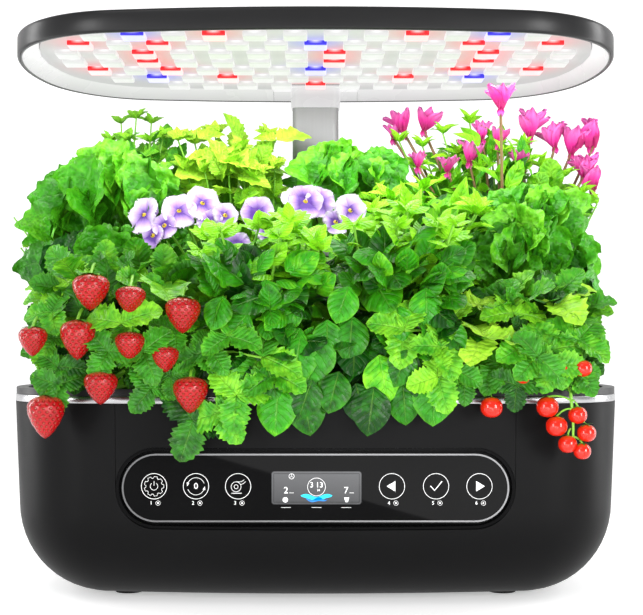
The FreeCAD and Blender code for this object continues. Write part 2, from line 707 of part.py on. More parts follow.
def make_fill_port():
    """Filling neck in the deck with two ears for the cap's pin."""
    half_x = PORT_LENGTH_X / 2
    half_y = PORT_LENGTH_Y / 2
    flange_top = DECK_TOP_Z + PORT_FLANGE_THICKNESS
    low = DECK_TOP_Z - PORT_DEPTH
    axis_x, axis_z = hinge_axis()
    neck = box(PORT_X - half_x, PORT_X + half_x, -half_y, half_y, low, DECK_TOP_Z)
    flange_y = half_y + PORT_FLANGE
    flange = box(PORT_X - half_x - PORT_FLANGE, axis_x + HINGE_RADIUS, -flange_y, flange_y,
                 DECK_TOP_Z, flange_top)
    port = neck.fuse(flange)
    clear_x = half_x - PORT_WALL
    clear_y = half_y - PORT_WALL
    port = port.cut(box(PORT_X - clear_x, PORT_X + clear_x, -clear_y, clear_y, low, flange_top))
    near = HINGE_KNUCKLE / 2 + HINGE_SIDE_GAP
    for side in (-1, 1):
        low_y, high_y = sorted((side * near, side * (near + HINGE_EAR)))
        ear = hinge_bar(HINGE_RADIUS, low_y, high_y)
        base = box(axis_x - HINGE_RADIUS, axis_x + HINGE_RADIUS, low_y, high_y, DECK_TOP_Z, axis_z)
        port = port.fuse([ear, base]).cut(hinge_bar(HINGE_PIN_RADIUS, low_y, high_y))
    return port


def make_fill_cap():
    """Cap with a finger lip, a plug ridge and the hinge's middle knuckle."""
    axis_x, axis_z = hinge_axis()
    half_y = PORT_LENGTH_Y / 2 + PORT_FLANGE
    low = DECK_TOP_Z + PORT_FLANGE_THICKNESS + CAP_GAP
    back = axis_x - HINGE_RADIUS - SEAM
    plate = box(CAP_FRONT_X, back, -half_y, half_y, low, low + CAP_THICKNESS)
    knuckle = hinge_bar(HINGE_RADIUS, -HINGE_KNUCKLE / 2, HINGE_KNUCKLE / 2)
    arm = box(back - HINGE_RADIUS, axis_x, -HINGE_KNUCKLE / 2, HINGE_KNUCKLE / 2, low, axis_z)
    cap = plate.fuse([arm, knuckle])
    return cap.cut(hinge_bar(HINGE_BORE_RADIUS, -HINGE_KNUCKLE / 2, HINGE_KNUCKLE / 2))


def make_fill_cap_pin():
    """Pin through the ears and the knuckle."""
    reach = HINGE_KNUCKLE / 2 + HINGE_SIDE_GAP + HINGE_EAR
    return hinge_bar(HINGE_PIN_RADIUS, -reach, reach)


def make_bottom_cover():
    """Screwed cover in the base's floor."""
    cover = cover_outline(SEAM, FOOT_HEIGHT, FOOT_HEIGHT + COVER_THICKNESS)
    for x, y in cover_screw_sites():
        cover = cover.cut(prism(SCREW_SIDES, COVER_SCREW_RADIUS, x, y, FOOT_HEIGHT, FOOT_HEIGHT + COVER_THICKNESS))
    return cover


def make_cover_screws():
    """Six screws under the bottom cover."""
    head_low = FOOT_HEIGHT - COVER_SCREW_HEAD_HEIGHT
    tip = FOOT_HEIGHT + SHELL_WALL + COVER_BOSS_HEIGHT
    profile = [(COVER_SCREW_HEAD, head_low), (COVER_SCREW_HEAD, FOOT_HEIGHT),
               (COVER_SCREW_RADIUS, FOOT_HEIGHT), (COVER_SCREW_RADIUS, tip)]
    return Part.Compound([flat_turned(SCREW_SIDES, profile, x, y) for x, y in cover_screw_sites()])


def make_rubber_feet():
    """Four pads under the floor."""
    sites = [(x, y) for x in (-FOOT_X, FOOT_X) for y in (-FOOT_Y, FOOT_Y)]
    return Part.Compound([post(FOOT_RADIUS, x, y, 0, FOOT_HEIGHT) for x, y in sites])


def make_dc_jack():
    """Round low-voltage inlet with its centre pin, seated in the rear wall."""
    inner_y = HALF_DEPTH - SHELL_WALL - SHELL_LEAN - JACK_SHOULDER
    barrel = jack_cylinder(JACK_BARREL_RADIUS, inner_y - JACK_SHOULDER, HALF_DEPTH)
    barrel = barrel.common(bowl(0, ROUND_STEPS))
    half = JACK_BLOCK / 2
    front = inner_y - JACK_BLOCK_DEPTH
    block = box(JACK_X - half, JACK_X + half, front, inner_y, JACK_Z - half, JACK_Z + half)
    jack = barrel.fuse(block)
    jack = jack.cut(jack_cylinder(JACK_BORE_RADIUS, front + JACK_BACK_WALL, HALF_DEPTH))
    return jack.fuse(jack_cylinder(JACK_PIN_RADIUS, front, inner_y))


def make_mast_socket():
    """Cup that holds the sleeve's foot, tied to the rear wall by two ribs."""
    width = SLEEVE_WIDTH + 2 * SOCKET_WALL
    depth = SLEEVE_DEPTH + 2 * SOCKET_WALL
    low = SLEEVE_BOTTOM_Z - SOCKET_FLOOR
    cup = rounded_bar(width, depth, MAST_CORNER + SOCKET_WALL, 0, MAST_Y, low, SOCKET_TOP_Z)
    for x in (-SOCKET_RIB_X, SOCKET_RIB_X):
        half = SOCKET_RIB_THICKNESS / 2
        rib = box(x - half, x + half, MAST_Y, HALF_DEPTH, low, SOCKET_TOP_Z)
        cup = cup.fuse(rib)
    cup = cup.common(bowl(SHELL_WALL + SLIDE_GAP, INSIDE_STEPS))
    return cup.cut(mast_hole(SLIDE_GAP / 2, SLEEVE_BOTTOM_Z, SOCKET_TOP_Z))


def make_mast_sleeve():
    """Fixed outer tube of the mast."""
    tube = rounded_bar(SLEEVE_WIDTH, SLEEVE_DEPTH, MAST_CORNER, 0, MAST_Y, SLEEVE_BOTTOM_Z, SLEEVE_TOP_Z)
    width = SLEEVE_WIDTH - 2 * SLEEVE_WALL
    depth = SLEEVE_DEPTH - 2 * SLEEVE_WALL
    hollow = rounded_bar(width, depth, MAST_CORNER - SLEEVE_WALL / 2, 0, MAST_Y, SLEEVE_BOTTOM_Z, SLEEVE_TOP_Z)
    return tube.cut(hollow)


def make_mast_bush():
    """Collar on the sleeve's top that guides the sliding mast."""
    top = SLEEVE_TOP_Z + BUSH_CAP
    low = top - BUSH_HEIGHT
    width = SLEEVE_WIDTH + 2 * BUSH_WALL
    depth = SLEEVE_DEPTH + 2 * BUSH_WALL
    bush = rounded_bar(width, depth, MAST_CORNER + BUSH_WALL, 0, MAST_Y, low, top)
    bush = bush.cut(mast_hole(SLIDE_GAP / 2, low, SLEEVE_TOP_Z))
    return bush.cut(mast_bar(2 * SLIDE_GAP, low, top))


def mast_bar(gap, low, high):
    """Bar of the sliding mast's section, wider by a gap all round."""
    return rounded_bar(MAST_WIDTH + 2 * gap, MAST_DEPTH + 2 * gap, MAST_CORNER + gap, 0, MAST_Y, low, high)


def make_mast_inner():
    """Sliding tube that carries the hood."""
    bar = mast_bar(0, MAST_BOTTOM_Z, BRACKET_BOTTOM_Z)
    return bar.cut(mast_bar(-MAST_WALL, MAST_BOTTOM_Z, BRACKET_BOTTOM_Z))


def make_mast_glide():
    """Plastic foot in the sliding tube that runs on the sleeve's inside."""
    width = SLEEVE_WIDTH - 2 * SLEEVE_WALL - 2 * SLIDE_GAP
    depth = SLEEVE_DEPTH - 2 * SLEEVE_WALL - 2 * SLIDE_GAP
    corner = MAST_CORNER - SLEEVE_WALL / 2
    plate = rounded_bar(width, depth, corner, 0, MAST_Y, MAST_BOTTOM_Z - GLIDE_PLATE, MAST_BOTTOM_Z)
    return plate.fuse(mast_bar(-MAST_WALL - SLIDE_GAP / 2, MAST_BOTTOM_Z, MAST_BOTTOM_Z + GLIDE_PLUG))


def make_pump_housing():
    """Sealed motor body with the impeller chamber, the rotor well and the outlet."""
    low = TANK_FLOOR_Z + STRAINER_STANDOFF + STRAINER_THICKNESS
    top = low + PUMP_HEIGHT
    body = post(PUMP_RADIUS, PUMP_X, PUMP_Y, low, top)
    chamber_top = low + CHAMBER_HEIGHT
    well_top = chamber_top + ROTOR_WELL_HEIGHT
    body = body.cut(post(CHAMBER_RADIUS, PUMP_X, PUMP_Y, low, chamber_top))
    body = body.cut(post(ROTOR_WELL_RADIUS, PUMP_X, PUMP_Y, chamber_top, well_top))
    body = body.cut(post(PUMP_SHAFT_RADIUS, PUMP_X, PUMP_Y, well_top, well_top + SHELL_WALL))
    outlet = post(OUTLET_RADIUS, PUMP_X + OUTLET_X, PUMP_Y, low + IMPELLER_PLATE, top)
    throat = box(PUMP_X, PUMP_X + OUTLET_X, PUMP_Y - OUTLET_RADIUS / 2, PUMP_Y + OUTLET_RADIUS / 2,
                 low + IMPELLER_PLATE, chamber_top)
    return body.cut(outlet).cut(throat)


def make_pump_shaft():
    """Fixed shaft between the strainer and the rotor well's end."""
    low = TANK_FLOOR_Z + STRAINER_STANDOFF + STRAINER_THICKNESS
    top = low + CHAMBER_HEIGHT + ROTOR_WELL_HEIGHT + SHELL_WALL
    return post(PUMP_SHAFT_RADIUS, PUMP_X, PUMP_Y, low, top)


def make_pump_strainer():
    """Perforated inlet cover on three feet."""
    low = TANK_FLOOR_Z + STRAINER_STANDOFF
    cover = post(PUMP_RADIUS, PUMP_X, PUMP_Y, low, low + STRAINER_THICKNESS)
    for k in range(STRAINER_HOLES):
        angle = 2 * math.pi * (k + 0.5) / STRAINER_HOLES
        x = PUMP_X + CHAMBER_RADIUS * 0.6 * math.cos(angle)
        y = PUMP_Y + CHAMBER_RADIUS * 0.6 * math.sin(angle)
        cover = cover.cut(prism(SCREW_SIDES, STRAINER_HOLE_RADIUS, x, y, low, low + STRAINER_THICKNESS))
    for k in range(STRAINER_FEET):
        angle = math.pi / 2 + 2 * math.pi * k / STRAINER_FEET
        x = PUMP_X + (PUMP_RADIUS - 2 * STRAINER_FOOT_RADIUS) * math.cos(angle)
        y = PUMP_Y + (PUMP_RADIUS - 2 * STRAINER_FOOT_RADIUS) * math.sin(angle)
        cover = cover.fuse(prism(SCREW_SIDES, STRAINER_FOOT_RADIUS, x, y, TANK_FLOOR_Z, low))
    return cover


def make_pump_impeller():
    """Magnet rotor with a bladed disc, turning on the shaft."""
    low = TANK_FLOOR_Z + STRAINER_STANDOFF + STRAINER_THICKNESS + IMPELLER_GAP
    disc_top = low + CHAMBER_HEIGHT - 2 * IMPELLER_GAP
    disc_low = disc_top - IMPELLER_PLATE
    top = disc_top + ROTOR_WELL_HEIGHT
    impeller = post(IMPELLER_RADIUS, PUMP_X, PUMP_Y, disc_low, disc_top)
    impeller = impeller.fuse(post(ROTOR_RADIUS, PUMP_X, PUMP_Y, disc_top, top))
    impeller = impeller.fuse(post(2.5 * PUMP_SHAFT_RADIUS, PUMP_X, PUMP_Y, low, disc_low))
    for k in range(BLADE_COUNT):
        blade = box(PUMP_X + PUMP_SHAFT_RADIUS * 2, PUMP_X + IMPELLER_RADIUS - BLADE_THICKNESS,
                    PUMP_Y - BLADE_THICKNESS / 2, PUMP_Y + BLADE_THICKNESS / 2, low, disc_low)
        blade.rotate(V(PUMP_X, PUMP_Y, 0), UP, 360.0 * k / BLADE_COUNT)
        impeller = impeller.fuse(blade)
    return impeller.cut(post(PUMP_SHAFT_RADIUS + PUMP_SHAFT_FIT, PUMP_X, PUMP_Y, low, top))


def pump_top():
    """Height of the pump's top face."""
    return TANK_FLOOR_Z + STRAINER_STANDOFF + STRAINER_THICKNESS + PUMP_HEIGHT


def make_riser_pipe():
    """Pipe from the pump's outlet to the spray head."""
    x = PUMP_X + OUTLET_X
    pipe = post(RISER_RADIUS, x, PUMP_Y, pump_top(), RISER_TOP_Z)
    return pipe.cut(post(RISER_RADIUS - RISER_WALL, x, PUMP_Y, pump_top(), RISER_TOP_Z))


def make_spray_head():
    """Cap on the pipe with side outlets."""
    x = PUMP_X + OUTLET_X
    low = RISER_TOP_Z - SPRAY_HEIGHT / 2
    top = low + SPRAY_HEIGHT
    head = post(SPRAY_RADIUS, x, PUMP_Y, low, top)
    head = head.cut(post(RISER_RADIUS, x, PUMP_Y, low, RISER_TOP_Z))
    half = RISER_WALL
    bottom = RISER_TOP_Z
    head = head.cut(box(x - SPRAY_RADIUS, x + SPRAY_RADIUS, PUMP_Y - half, PUMP_Y + half, bottom, bottom + half))
    return head.cut(box(x - half, x + half, PUMP_Y - SPRAY_RADIUS, PUMP_Y + SPRAY_RADIUS, bottom, bottom + half))


def make_float_stem():
    """Stem with a foot on the tank's floor and a stop above the float's travel."""
    foot_top = TANK_FLOOR_Z + STEM_FOOT_THICKNESS
    stop = foot_top + FLOAT_FIT + FLOAT_HEIGHT + FLOAT_TRAVEL + FLOAT_FIT
    top = LEDGE_TOP_Z - FLOAT_FIT
    return turned([
        (0, TANK_FLOOR_Z), (FLOAT_STEM_FOOT, TANK_FLOOR_Z), (FLOAT_STEM_FOOT, foot_top),
        (FLOAT_STEM_RADIUS, foot_top), (FLOAT_STEM_RADIUS, stop), (FLOAT_STOP_RADIUS, stop),
        (FLOAT_STOP_RADIUS, stop + RIB_THICKNESS), (FLOAT_STEM_RADIUS, stop + RIB_THICKNESS),
        (FLOAT_STEM_RADIUS, top), (0, top)], FLOAT_X, FLOAT_Y)


def make_level_float():
    """Ring that rides up and down the stem with the water."""
    low = TANK_FLOOR_Z + STEM_FOOT_THICKNESS + FLOAT_FIT
    top = low + FLOAT_HEIGHT
    bore = FLOAT_STEM_RADIUS + FLOAT_FIT
    ring_body = post(FLOAT_RADIUS, FLOAT_X, FLOAT_Y, low, top)
    return ring_body.cut(post(bore, FLOAT_X, FLOAT_Y, low, top))


def tray_block(outer_shift):
    """Tapered block between the hood's rim and the lamp board, wider by a shift."""
    low = HOOD_BOTTOM_Z + TRAY_LIFT
    return plan_solid(HOOD_PLAN, [(TRAY_RIM_INSET - outer_shift, low),
                                  (TRAY_TOP_INSET - outer_shift, LED_BOARD_TOP_Z)])


def tray_ring():
    """Sloping band inside the hood's rim."""
    return tray_block(TRAY_WALL).cut(tray_block(0))


def cover_region(gap):
    """Region at the rear of the tray that the mast cover takes up."""
    half = MAST_COVER_HALF_X + gap
    return box(-half, half, MAST_COVER_FRONT_Y - gap, HALF_DEPTH, HOOD_BOTTOM_Z, HOOD_INSIDE_Z)


def make_hood_tray():
    """White reflector band without its rear middle part."""
    return tray_ring().cut(cover_region(SEAM))


def make_mast_cover():
    """Removable rear part of the reflector, with the collar round the mast."""
    low = LED_PLANE_Z - MAST_COVER_THICKNESS
    inset = TRAY_TOP_INSET - 1.0
    plate = slab(HOOD_PLAN, inset, low, LED_PLANE_Z)
    above = slab(HOOD_PLAN, HOOD_WALL, LED_PLANE_Z, HOOD_INSIDE_Z)
    cover = tray_ring().fuse(plate).common(cover_region(0)).cut(above)
    collar = mast_bar(COLLAR_GAP + COLLAR_WALL, LED_PLANE_Z - MAST_COVER_THICKNESS - COLLAR_DEPTH, low)
    cover = cover.fuse(collar).cut(mast_bar(COLLAR_GAP, low - COLLAR_DEPTH, LED_BOARD_TOP_Z))
    return cover


def hood_screw_sites():
    """Four screws round the mast's top."""
    return [(x, MAST_Y + y) for x in (-HOOD_SCREW_X, HOOD_SCREW_X) for y in (-HOOD_SCREW_Y, HOOD_SCREW_Y)]


def make_hood_shell():
    """Thin hood with a rounded top edge, posts for the lamp board and a pad for the bracket."""
    edge = HOOD_EDGE
    hood = plan_solid(HOOD_PLAN, [
        (0, HOOD_BOTTOM_Z), (0, HOOD_TOP_Z - edge), (edge * 0.3, HOOD_TOP_Z - edge * 0.3), (edge, HOOD_TOP_Z)])
    hood = hood.cut(slab(HOOD_PLAN, HOOD_WALL, HOOD_BOTTOM_Z, HOOD_INSIDE_Z))
    for x in POST_X:
        for side in (-1, 1):
            for y in (-POST_Y, POST_Y):
                hood = hood.fuse(prism(SCREW_SIDES, POST_RADIUS, side * x, y, LED_BOARD_TOP_Z, HOOD_INSIDE_Z))
    pad = rounded_bar(2 * BRACKET_HALF_X, BRACKET_DEPTH, HOOD_WALL, 0, MAST_Y, BRACKET_TOP_Z, HOOD_INSIDE_Z)
    hood = hood.fuse(pad)
    for x, y in hood_screw_sites():
        hood = hood.cut(prism(SCREW_SIDES, HOOD_SCREW_RADIUS, x, y, BRACKET_TOP_Z, HOOD_INSIDE_Z))
    return hood


def make_led_board():
    """Board that carries the lamps, notched round the mast cover."""
    board = slab(HOOD_PLAN, TRAY_TOP_INSET + SEAM, LED_PLANE_Z, LED_BOARD_TOP_Z)
    return board.cut(cover_region(SEAM))


def make_leds(colour):
    """All lamps of one colour."""
    half = LED_SIZE / 2
    lamps = []
    for row, colours in enumerate(LED_ROWS):
        y = LED_FIRST_Y + row * LED_PITCH_Y
        for place, letter in enumerate(colours):
            x = (place - (len(colours) - 1) / 2) * LED_PITCH_X
            if letter == colour:
                lamps.append(box(x - half, x + half, y - half, y + half, LED_PLANE_Z - LED_HEIGHT, LED_PLANE_Z))
    return Part.Compound(lamps)


def make_hood_bracket():
    """Plate under the hood's pad with a plug in the mast's top."""
    plate = rounded_bar(2 * BRACKET_HALF_X, BRACKET_DEPTH, HOOD_WALL, 0, MAST_Y, BRACKET_BOTTOM_Z, BRACKET_TOP_Z)
    plug = mast_bar(-MAST_WALL - SLIDE_GAP / 2, BRACKET_BOTTOM_Z - BRACKET_PLUG, BRACKET_BOTTOM_Z)
    bracket = plate.fuse(plug)
    head_top = BRACKET_BOTTOM_Z + BRACKET_THICKNESS / 2
    for x, y in hood_screw_sites():
        bracket = bracket.cut(prism(SCREW_SIDES, HOOD_SCREW_HEAD, x, y, BRACKET_BOTTOM_Z, head_top))
        bracket = bracket.cut(prism(SCREW_SIDES, HOOD_SCREW_RADIUS, x, y, head_top, BRACKET_TOP_Z))
    return bracket


def make_hood_screws():
    """Four screws that clamp the bracket to the hood."""
    head_top = BRACKET_BOTTOM_Z + BRACKET_THICKNESS / 2
    profile = [(HOOD_SCREW_HEAD, BRACKET_BOTTOM_Z), (HOOD_SCREW_HEAD, head_top),
               (HOOD_SCREW_RADIUS, head_top), (HOOD_SCREW_RADIUS, HOOD_INSIDE_Z)]
    return Part.Compound([flat_turned(SCREW_SIDES, profile, x, y) for x, y in hood_screw_sites()])


def leaf_mass(reach, foot, low, high, shape):
    """Lobed closed mass of leaves between two heights, from its foot out to its reach.

    reach is (low x, high x, low y, high y), and shape holds (share of the height, share of
    the reach) pairs.
    """
    low_x, high_x, low_y, high_y = reach
    middle = V((low_x + high_x) / 2, (low_y + high_y) / 2, 0)
    half_x = (high_x - low_x) / 2 - PLANT_GAP
    half_y = (high_y - low_y) / 2 - PLANT_GAP
    rings = []
    for step, (share, width) in enumerate(shape):
        centre = middle * width + V(foot[0], foot[1], 0) * (1 - width)
        height = low + share * (high - low)
        points = []
        for k in range(CROWN_SIDES):
            angle = 2 * math.pi * (k + 0.5 * (step % 2)) / CROWN_SIDES
            lobe = 1.0 - CROWN_LOBE * ((k + step) % 2)
            across = math.copysign(abs(math.cos(angle)) ** 0.7, math.cos(angle))
            along = math.copysign(abs(math.sin(angle)) ** 0.7, math.sin(angle))
            points.append(centre + V(half_x * width * lobe * across, half_y * width * lobe * along, height))
        rings.append(points)
    return faceted(rings)


BUSHY = ((0.0, 0.35), (0.18, 0.85), (0.5, 1.0), (0.8, 0.8), (1.0, 0.35))
LOW_SPREAD = ((0.0, 0.55), (0.25, 0.95), (0.6, 1.0), (0.85, 0.75), (1.0, 0.35))
TALL = ((0.0, 0.35), (0.25, 0.8), (0.6, 1.0), (0.85, 0.7), (1.0, 0.3))

# Each plant, pod by pod from the front left: the reach of its leaves as shares of the half width
# and the half depth, their lowest and highest point as shares of the growing height, and the
# shape of the mass
PLANTS = {
    "strawberry_plant": ((-1.06, -0.375, -1.0, -0.295), 0.034, 0.381, LOW_SPREAD),
    "sweet_basil_plant": ((-0.375, 0.045, -1.152, -0.295), 0.034, 0.545, BUSHY),
    "broadleaf_basil_plant": ((0.045, 0.47, -1.134, -0.295), 0.034, 0.545, BUSHY),
    "tomato_plant": ((0.47, 1.06, -1.0, -0.295), 0.034, 0.308, LOW_SPREAD),
    "green_lettuce_plant": ((-0.93, -0.49, -0.295, 0.277), 0.043, 0.8, TALL),
    "pansy_plant": ((-0.49, 0.175, -0.295, 0.277), 0.043, 0.609, TALL),
    "tall_basil_plant": ((0.175, 0.54, -0.295, 0.277), 0.043, 0.686, TALL),
    "frilled_lettuce_plant": ((0.54, 1.06, -0.295, 0.277), 0.18, 0.668, LOW_SPREAD),
    "mint_plant": ((-1.06, -0.48, 0.277, 1.214), 0.043, 0.964, TALL),
    "lemon_balm_plant": ((-0.48, -0.125, 0.277, 1.214), 0.043, 0.918, TALL),
    "back_lettuce_plant": ((-0.115, 0.395, 0.277, 0.705), 0.043, 0.864, TALL),
    "cyclamen_plant": ((0.395, 1.06, 0.277, 1.214), 0.043, 0.937, TALL),
}

# Strawberries and tomatoes: x of the middle, its height above the trim band and the radius; a
# berry's last size is its length
STRAWBERRIES = (
    (-158.5, -11.3, 11.0, 26.0), (-126.2, 5.7, 10.0, 20.0), (-73.5, 1.5, 10.5, 22.0),
    (-132.0, 61.9, 11.0, 22.0), (-139.7, 34.0, 10.5, 24.0), (-108.7, 57.2, 9.0, 17.0),
    (-78.0, 48.4, 10.5, 22.0), (-166.0, 33.0, 8.5, 18.0), (-109.0, 30.0, 9.0, 18.0),
    (-88.2, 22.5, 8.0, 16.0),
)
TOMATOES = (
    (103.9, -6.0, 6.6), (137.0, -5.8, 6.6), (154.8, -10.6, 5.6), (142.4, -17.1, 6.4),
    (160.1, -21.2, 5.6), (148.9, -27.7, 5.6), (157.5, -31.9, 5.2), (145.9, 15.0, 5.4),
    (158.0, 17.0, 5.4), (122.2, 12.0, 5.0),
)
TRUSS = ((151.0, -2.0), (152.0, -26.0))


def plant_space(name):
    """Low and high x, low and high y of a plant's leaves, and their lowest and highest point."""
    (left, right, front, back), low, high, shape = PLANTS[name]
    reach = (left * HALF_WIDTH, right * HALF_WIDTH, front * HALF_DEPTH, back * HALF_DEPTH)
    return reach, DECK_TOP_Z + low * GROWING_HEIGHT, DECK_TOP_Z + high * GROWING_HEIGHT, shape


def make_plant(name):
    """Stem from the sponge and the mass of leaves on it."""
    x, y = all_pod_sites()[list(PLANTS).index(name)]
    reach, low, high, shape = plant_space(name)
    leaves = leaf_mass(reach, (x, y), low, high, shape)
    stem = prism(BERRY_SIDES, STEM_RADIUS, x, y, SPONGE_TOP_Z, low + (high - low) / 3)
    return leaves.fuse(stem)


def round_fruit(centre, radius, length, profile):
    """Faceted fruit from (share of the length, share of the radius) pairs, top first."""
    rings = []
    for share, width in profile:
        points = []
        for k in range(BERRY_SIDES):
            angle = 2 * math.pi * k / BERRY_SIDES
            offset = V(radius * width * math.cos(angle), radius * width * math.sin(angle), length * (0.5 - share))
            points.append(centre + offset)
        rings.append(points)
    return faceted(rings)


def stalk(start, end):
    """Thin round stalk between two points."""
    way = end - start
    bar = Part.makeBox(2 * STALK_RADIUS, 2 * STALK_RADIUS, way.Length, V(-STALK_RADIUS, -STALK_RADIUS, 0))
    bar.Placement = FreeCAD.Placement(start, FreeCAD.Rotation(UP, way)).multiply(bar.Placement)
    return bar


def plant_heart(name):
    """Middle of a plant's mass of leaves."""
    (low_x, high_x, low_y, high_y), low, high, shape = plant_space(name)
    return V((low_x + high_x) / 2, (low_y + high_y) / 2, (low + high) / 2)


def hung_fruit(fruit, centre, plant, leaves):
    """Fruit on a stalk that ends at the surface of its plant."""
    whole = fruit.fuse(stalk(centre, plant_heart(plant))).cut(leaves)
    return [solid for solid in whole.Solids if solid.isInside(centre, 0.01, True)][0]


def make_strawberries(leaves):
    """Hanging strawberries in front of their leaves."""
    profile = ((0.0, 0.45), (0.12, 0.85), (0.35, 1.0), (0.65, 0.72), (0.9, 0.35), (1.0, 0.1))
    berries = []
    for x, rise, radius, length in STRAWBERRIES:
        centre = V(x, -HALF_DEPTH - BERRY_STANDOFF, TRIM_TOP_Z + rise)
        berry = round_fruit(centre, radius, length, profile)
        berries.append(hung_fruit(berry, centre, "strawberry_plant", leaves))
    return Part.Compound(berries)


def make_cherry_tomatoes(leaves):
    """Cherry tomatoes, most of them on one hanging truss."""
    profile = ((0.0, 0.3), (0.2, 0.85), (0.5, 1.0), (0.8, 0.85), (1.0, 0.3))
    front = -HALF_DEPTH - TOMATO_STANDOFF
    top, bottom = [V(x, front, TRIM_TOP_Z + rise) for x, rise in TRUSS]
    truss = stalk(top, bottom).fuse(stalk(top, plant_heart("tomato_plant")))
    single = []
    for x, rise, radius in TOMATOES:
        centre = V(x, front, TRIM_TOP_Z + rise)
        fruit = round_fruit(centre, radius, 2 * radius, profile)
        if centre.z < top.z and abs(x - top.x) < 4 * radius:
            joint = V(top.x, front, min(top.z, centre.z + radius))
            truss = truss.fuse(fruit.fuse(stalk(centre, joint)))
        else:
            single.append(hung_fruit(fruit, centre, "tomato_plant", leaves))
    truss = truss.cut(leaves)
    hanging = [solid for solid in truss.Solids if solid.isInside(bottom + V(0, 0, 1), 0.01, True)]
    return Part.Compound(hanging + single)


def save(name, shape):
    """Write one piece and print what it holds."""
    shape.exportStep("parts/" + name + ".step")
    print(name, "valid" if shape.isValid() else "NOT VALID", len(shape.Solids), round(shape.Volume))


def main():
    os.makedirs("parts", exist_ok=True)
    pieces = {
        "base_shell": make_base_shell(),
        "front_fascia": make_front_fascia(),
        "control_bezel": make_control_bezel(),
        "glass_frame": make_glass_frame(),
        "touch_panel": make_touch_panel(),
        "lcd_module": make_lcd_module(),
        "control_board": make_control_board(),
        "touch_springs": make_touch_springs(),
        "trim_band": make_trim_band(),
        "water_tank": make_water_tank(),
        "grow_deck": make_grow_deck(),
        "baskets_front": make_baskets(0),
        "baskets_middle": make_baskets(1),
        "baskets_back": make_baskets(2),
        "grow_sponges": make_grow_sponges(),
        "fill_port": make_fill_port(),
        "fill_cap": make_fill_cap(),
        "fill_cap_pin": make_fill_cap_pin(),
        "bottom_cover": make_bottom_cover(),
        "cover_screws": make_cover_screws(),
        "rubber_feet": make_rubber_feet(),
        "dc_jack": make_dc_jack(),
        "pump_housing": make_pump_housing(),
        "pump_shaft": make_pump_shaft(),
        "pump_strainer": make_pump_strainer(),
        "pump_impeller": make_pump_impeller(),
        "riser_pipe": make_riser_pipe(),
        "spray_head": make_spray_head(),
        "float_stem": make_float_stem(),
        "level_float": make_level_float(),
        "mast_socket": make_mast_socket(),
        "mast_sleeve": make_mast_sleeve(),
        "mast_bush": make_mast_bush(),
        "mast_inner": make_mast_inner(),
        "mast_glide": make_mast_glide(),
        "mast_cover": make_mast_cover(),
        "hood_shell": make_hood_shell(),
        "hood_tray": make_hood_tray(),
        "led_board": make_led_board(),
        "white_leds": make_leds("W"),
        "red_leds": make_leds("R"),
        "blue_leds": make_leds("B"),
        "hood_bracket": make_hood_bracket(),
        "hood_screws": make_hood_screws(),
    }
    for name in PLANTS:
        pieces[name] = make_plant(name)
    pieces["strawberries"] = make_strawberries(pieces["strawberry_plant"])
    pieces["cherry_tomatoes"] = make_cherry_tomatoes(pieces["tomato_plant"])
    for name, shape in pieces.items():
        save(name, shape)


main()
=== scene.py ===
"""Looks of a countertop hydroponic garden: dark rounded base with a glass touch panel and a silver
band, a lamp hood with glowing lamps, and twelve plants with their flowers and fruit.

Laid out as an add-on: every group of pieces has an operator, and a panel lists them.
"""

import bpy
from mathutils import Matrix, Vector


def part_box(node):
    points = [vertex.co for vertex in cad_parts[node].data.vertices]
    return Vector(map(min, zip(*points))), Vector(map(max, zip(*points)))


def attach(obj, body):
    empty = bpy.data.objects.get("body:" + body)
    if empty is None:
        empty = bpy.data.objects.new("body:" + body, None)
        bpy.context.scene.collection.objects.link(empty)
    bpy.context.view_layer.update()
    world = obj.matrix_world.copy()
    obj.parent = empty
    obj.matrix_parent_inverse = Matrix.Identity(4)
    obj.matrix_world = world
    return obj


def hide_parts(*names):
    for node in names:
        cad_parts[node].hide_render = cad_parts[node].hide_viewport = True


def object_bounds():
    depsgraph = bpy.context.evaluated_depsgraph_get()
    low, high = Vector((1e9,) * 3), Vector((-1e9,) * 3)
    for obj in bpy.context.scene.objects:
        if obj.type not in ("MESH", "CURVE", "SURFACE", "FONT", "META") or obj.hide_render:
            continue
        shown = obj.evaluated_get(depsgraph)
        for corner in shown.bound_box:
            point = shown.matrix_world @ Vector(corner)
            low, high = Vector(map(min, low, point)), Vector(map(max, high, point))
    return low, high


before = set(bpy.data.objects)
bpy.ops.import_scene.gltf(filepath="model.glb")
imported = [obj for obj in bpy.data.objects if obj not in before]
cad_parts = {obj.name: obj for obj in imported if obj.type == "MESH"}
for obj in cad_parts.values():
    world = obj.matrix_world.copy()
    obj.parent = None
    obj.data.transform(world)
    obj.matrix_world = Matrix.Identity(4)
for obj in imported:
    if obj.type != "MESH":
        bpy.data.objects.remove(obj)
CAD_BOX = [list(corner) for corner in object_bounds()]

import math
import random

import bpy
from bpy.props import FloatProperty, FloatVectorProperty, IntProperty, PointerProperty
from mathutils import Matrix, Vector

bl_info = {
    "name": "Hydroponic garden",
    "version": (1, 0, 0),
    "blender": (4, 5, 0),
    "location": "3D View > Sidebar > Garden",
    "description": "Builds the looks of a countertop hydroponic garden",
    "category": "Object",
}

MM = 0.001
UP = Vector((0, 0, 1))
FRONT = Vector((0, -1, 0))

# Where the eye stands in front of the garden, and the plane that its pictures are measured on
EYE = Vector((0, -857 * MM, 157.5 * MM))
LENS_MM = 69.9
SHIFT = (0.0093, 0.0672)
FRONT_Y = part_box("trim_band")[0].y

# Outlines seen from above: half width, half depth, front arc, side arc and corner arc
BASE_PLAN = (0.2, 0.112, 1.0, 0.2, 0.064)
HOOD_PLAN = (0.2, 0.112, 1.0, 0.17, 0.082)
WIDE_STEPS = 22
CORNER_STEPS = 16

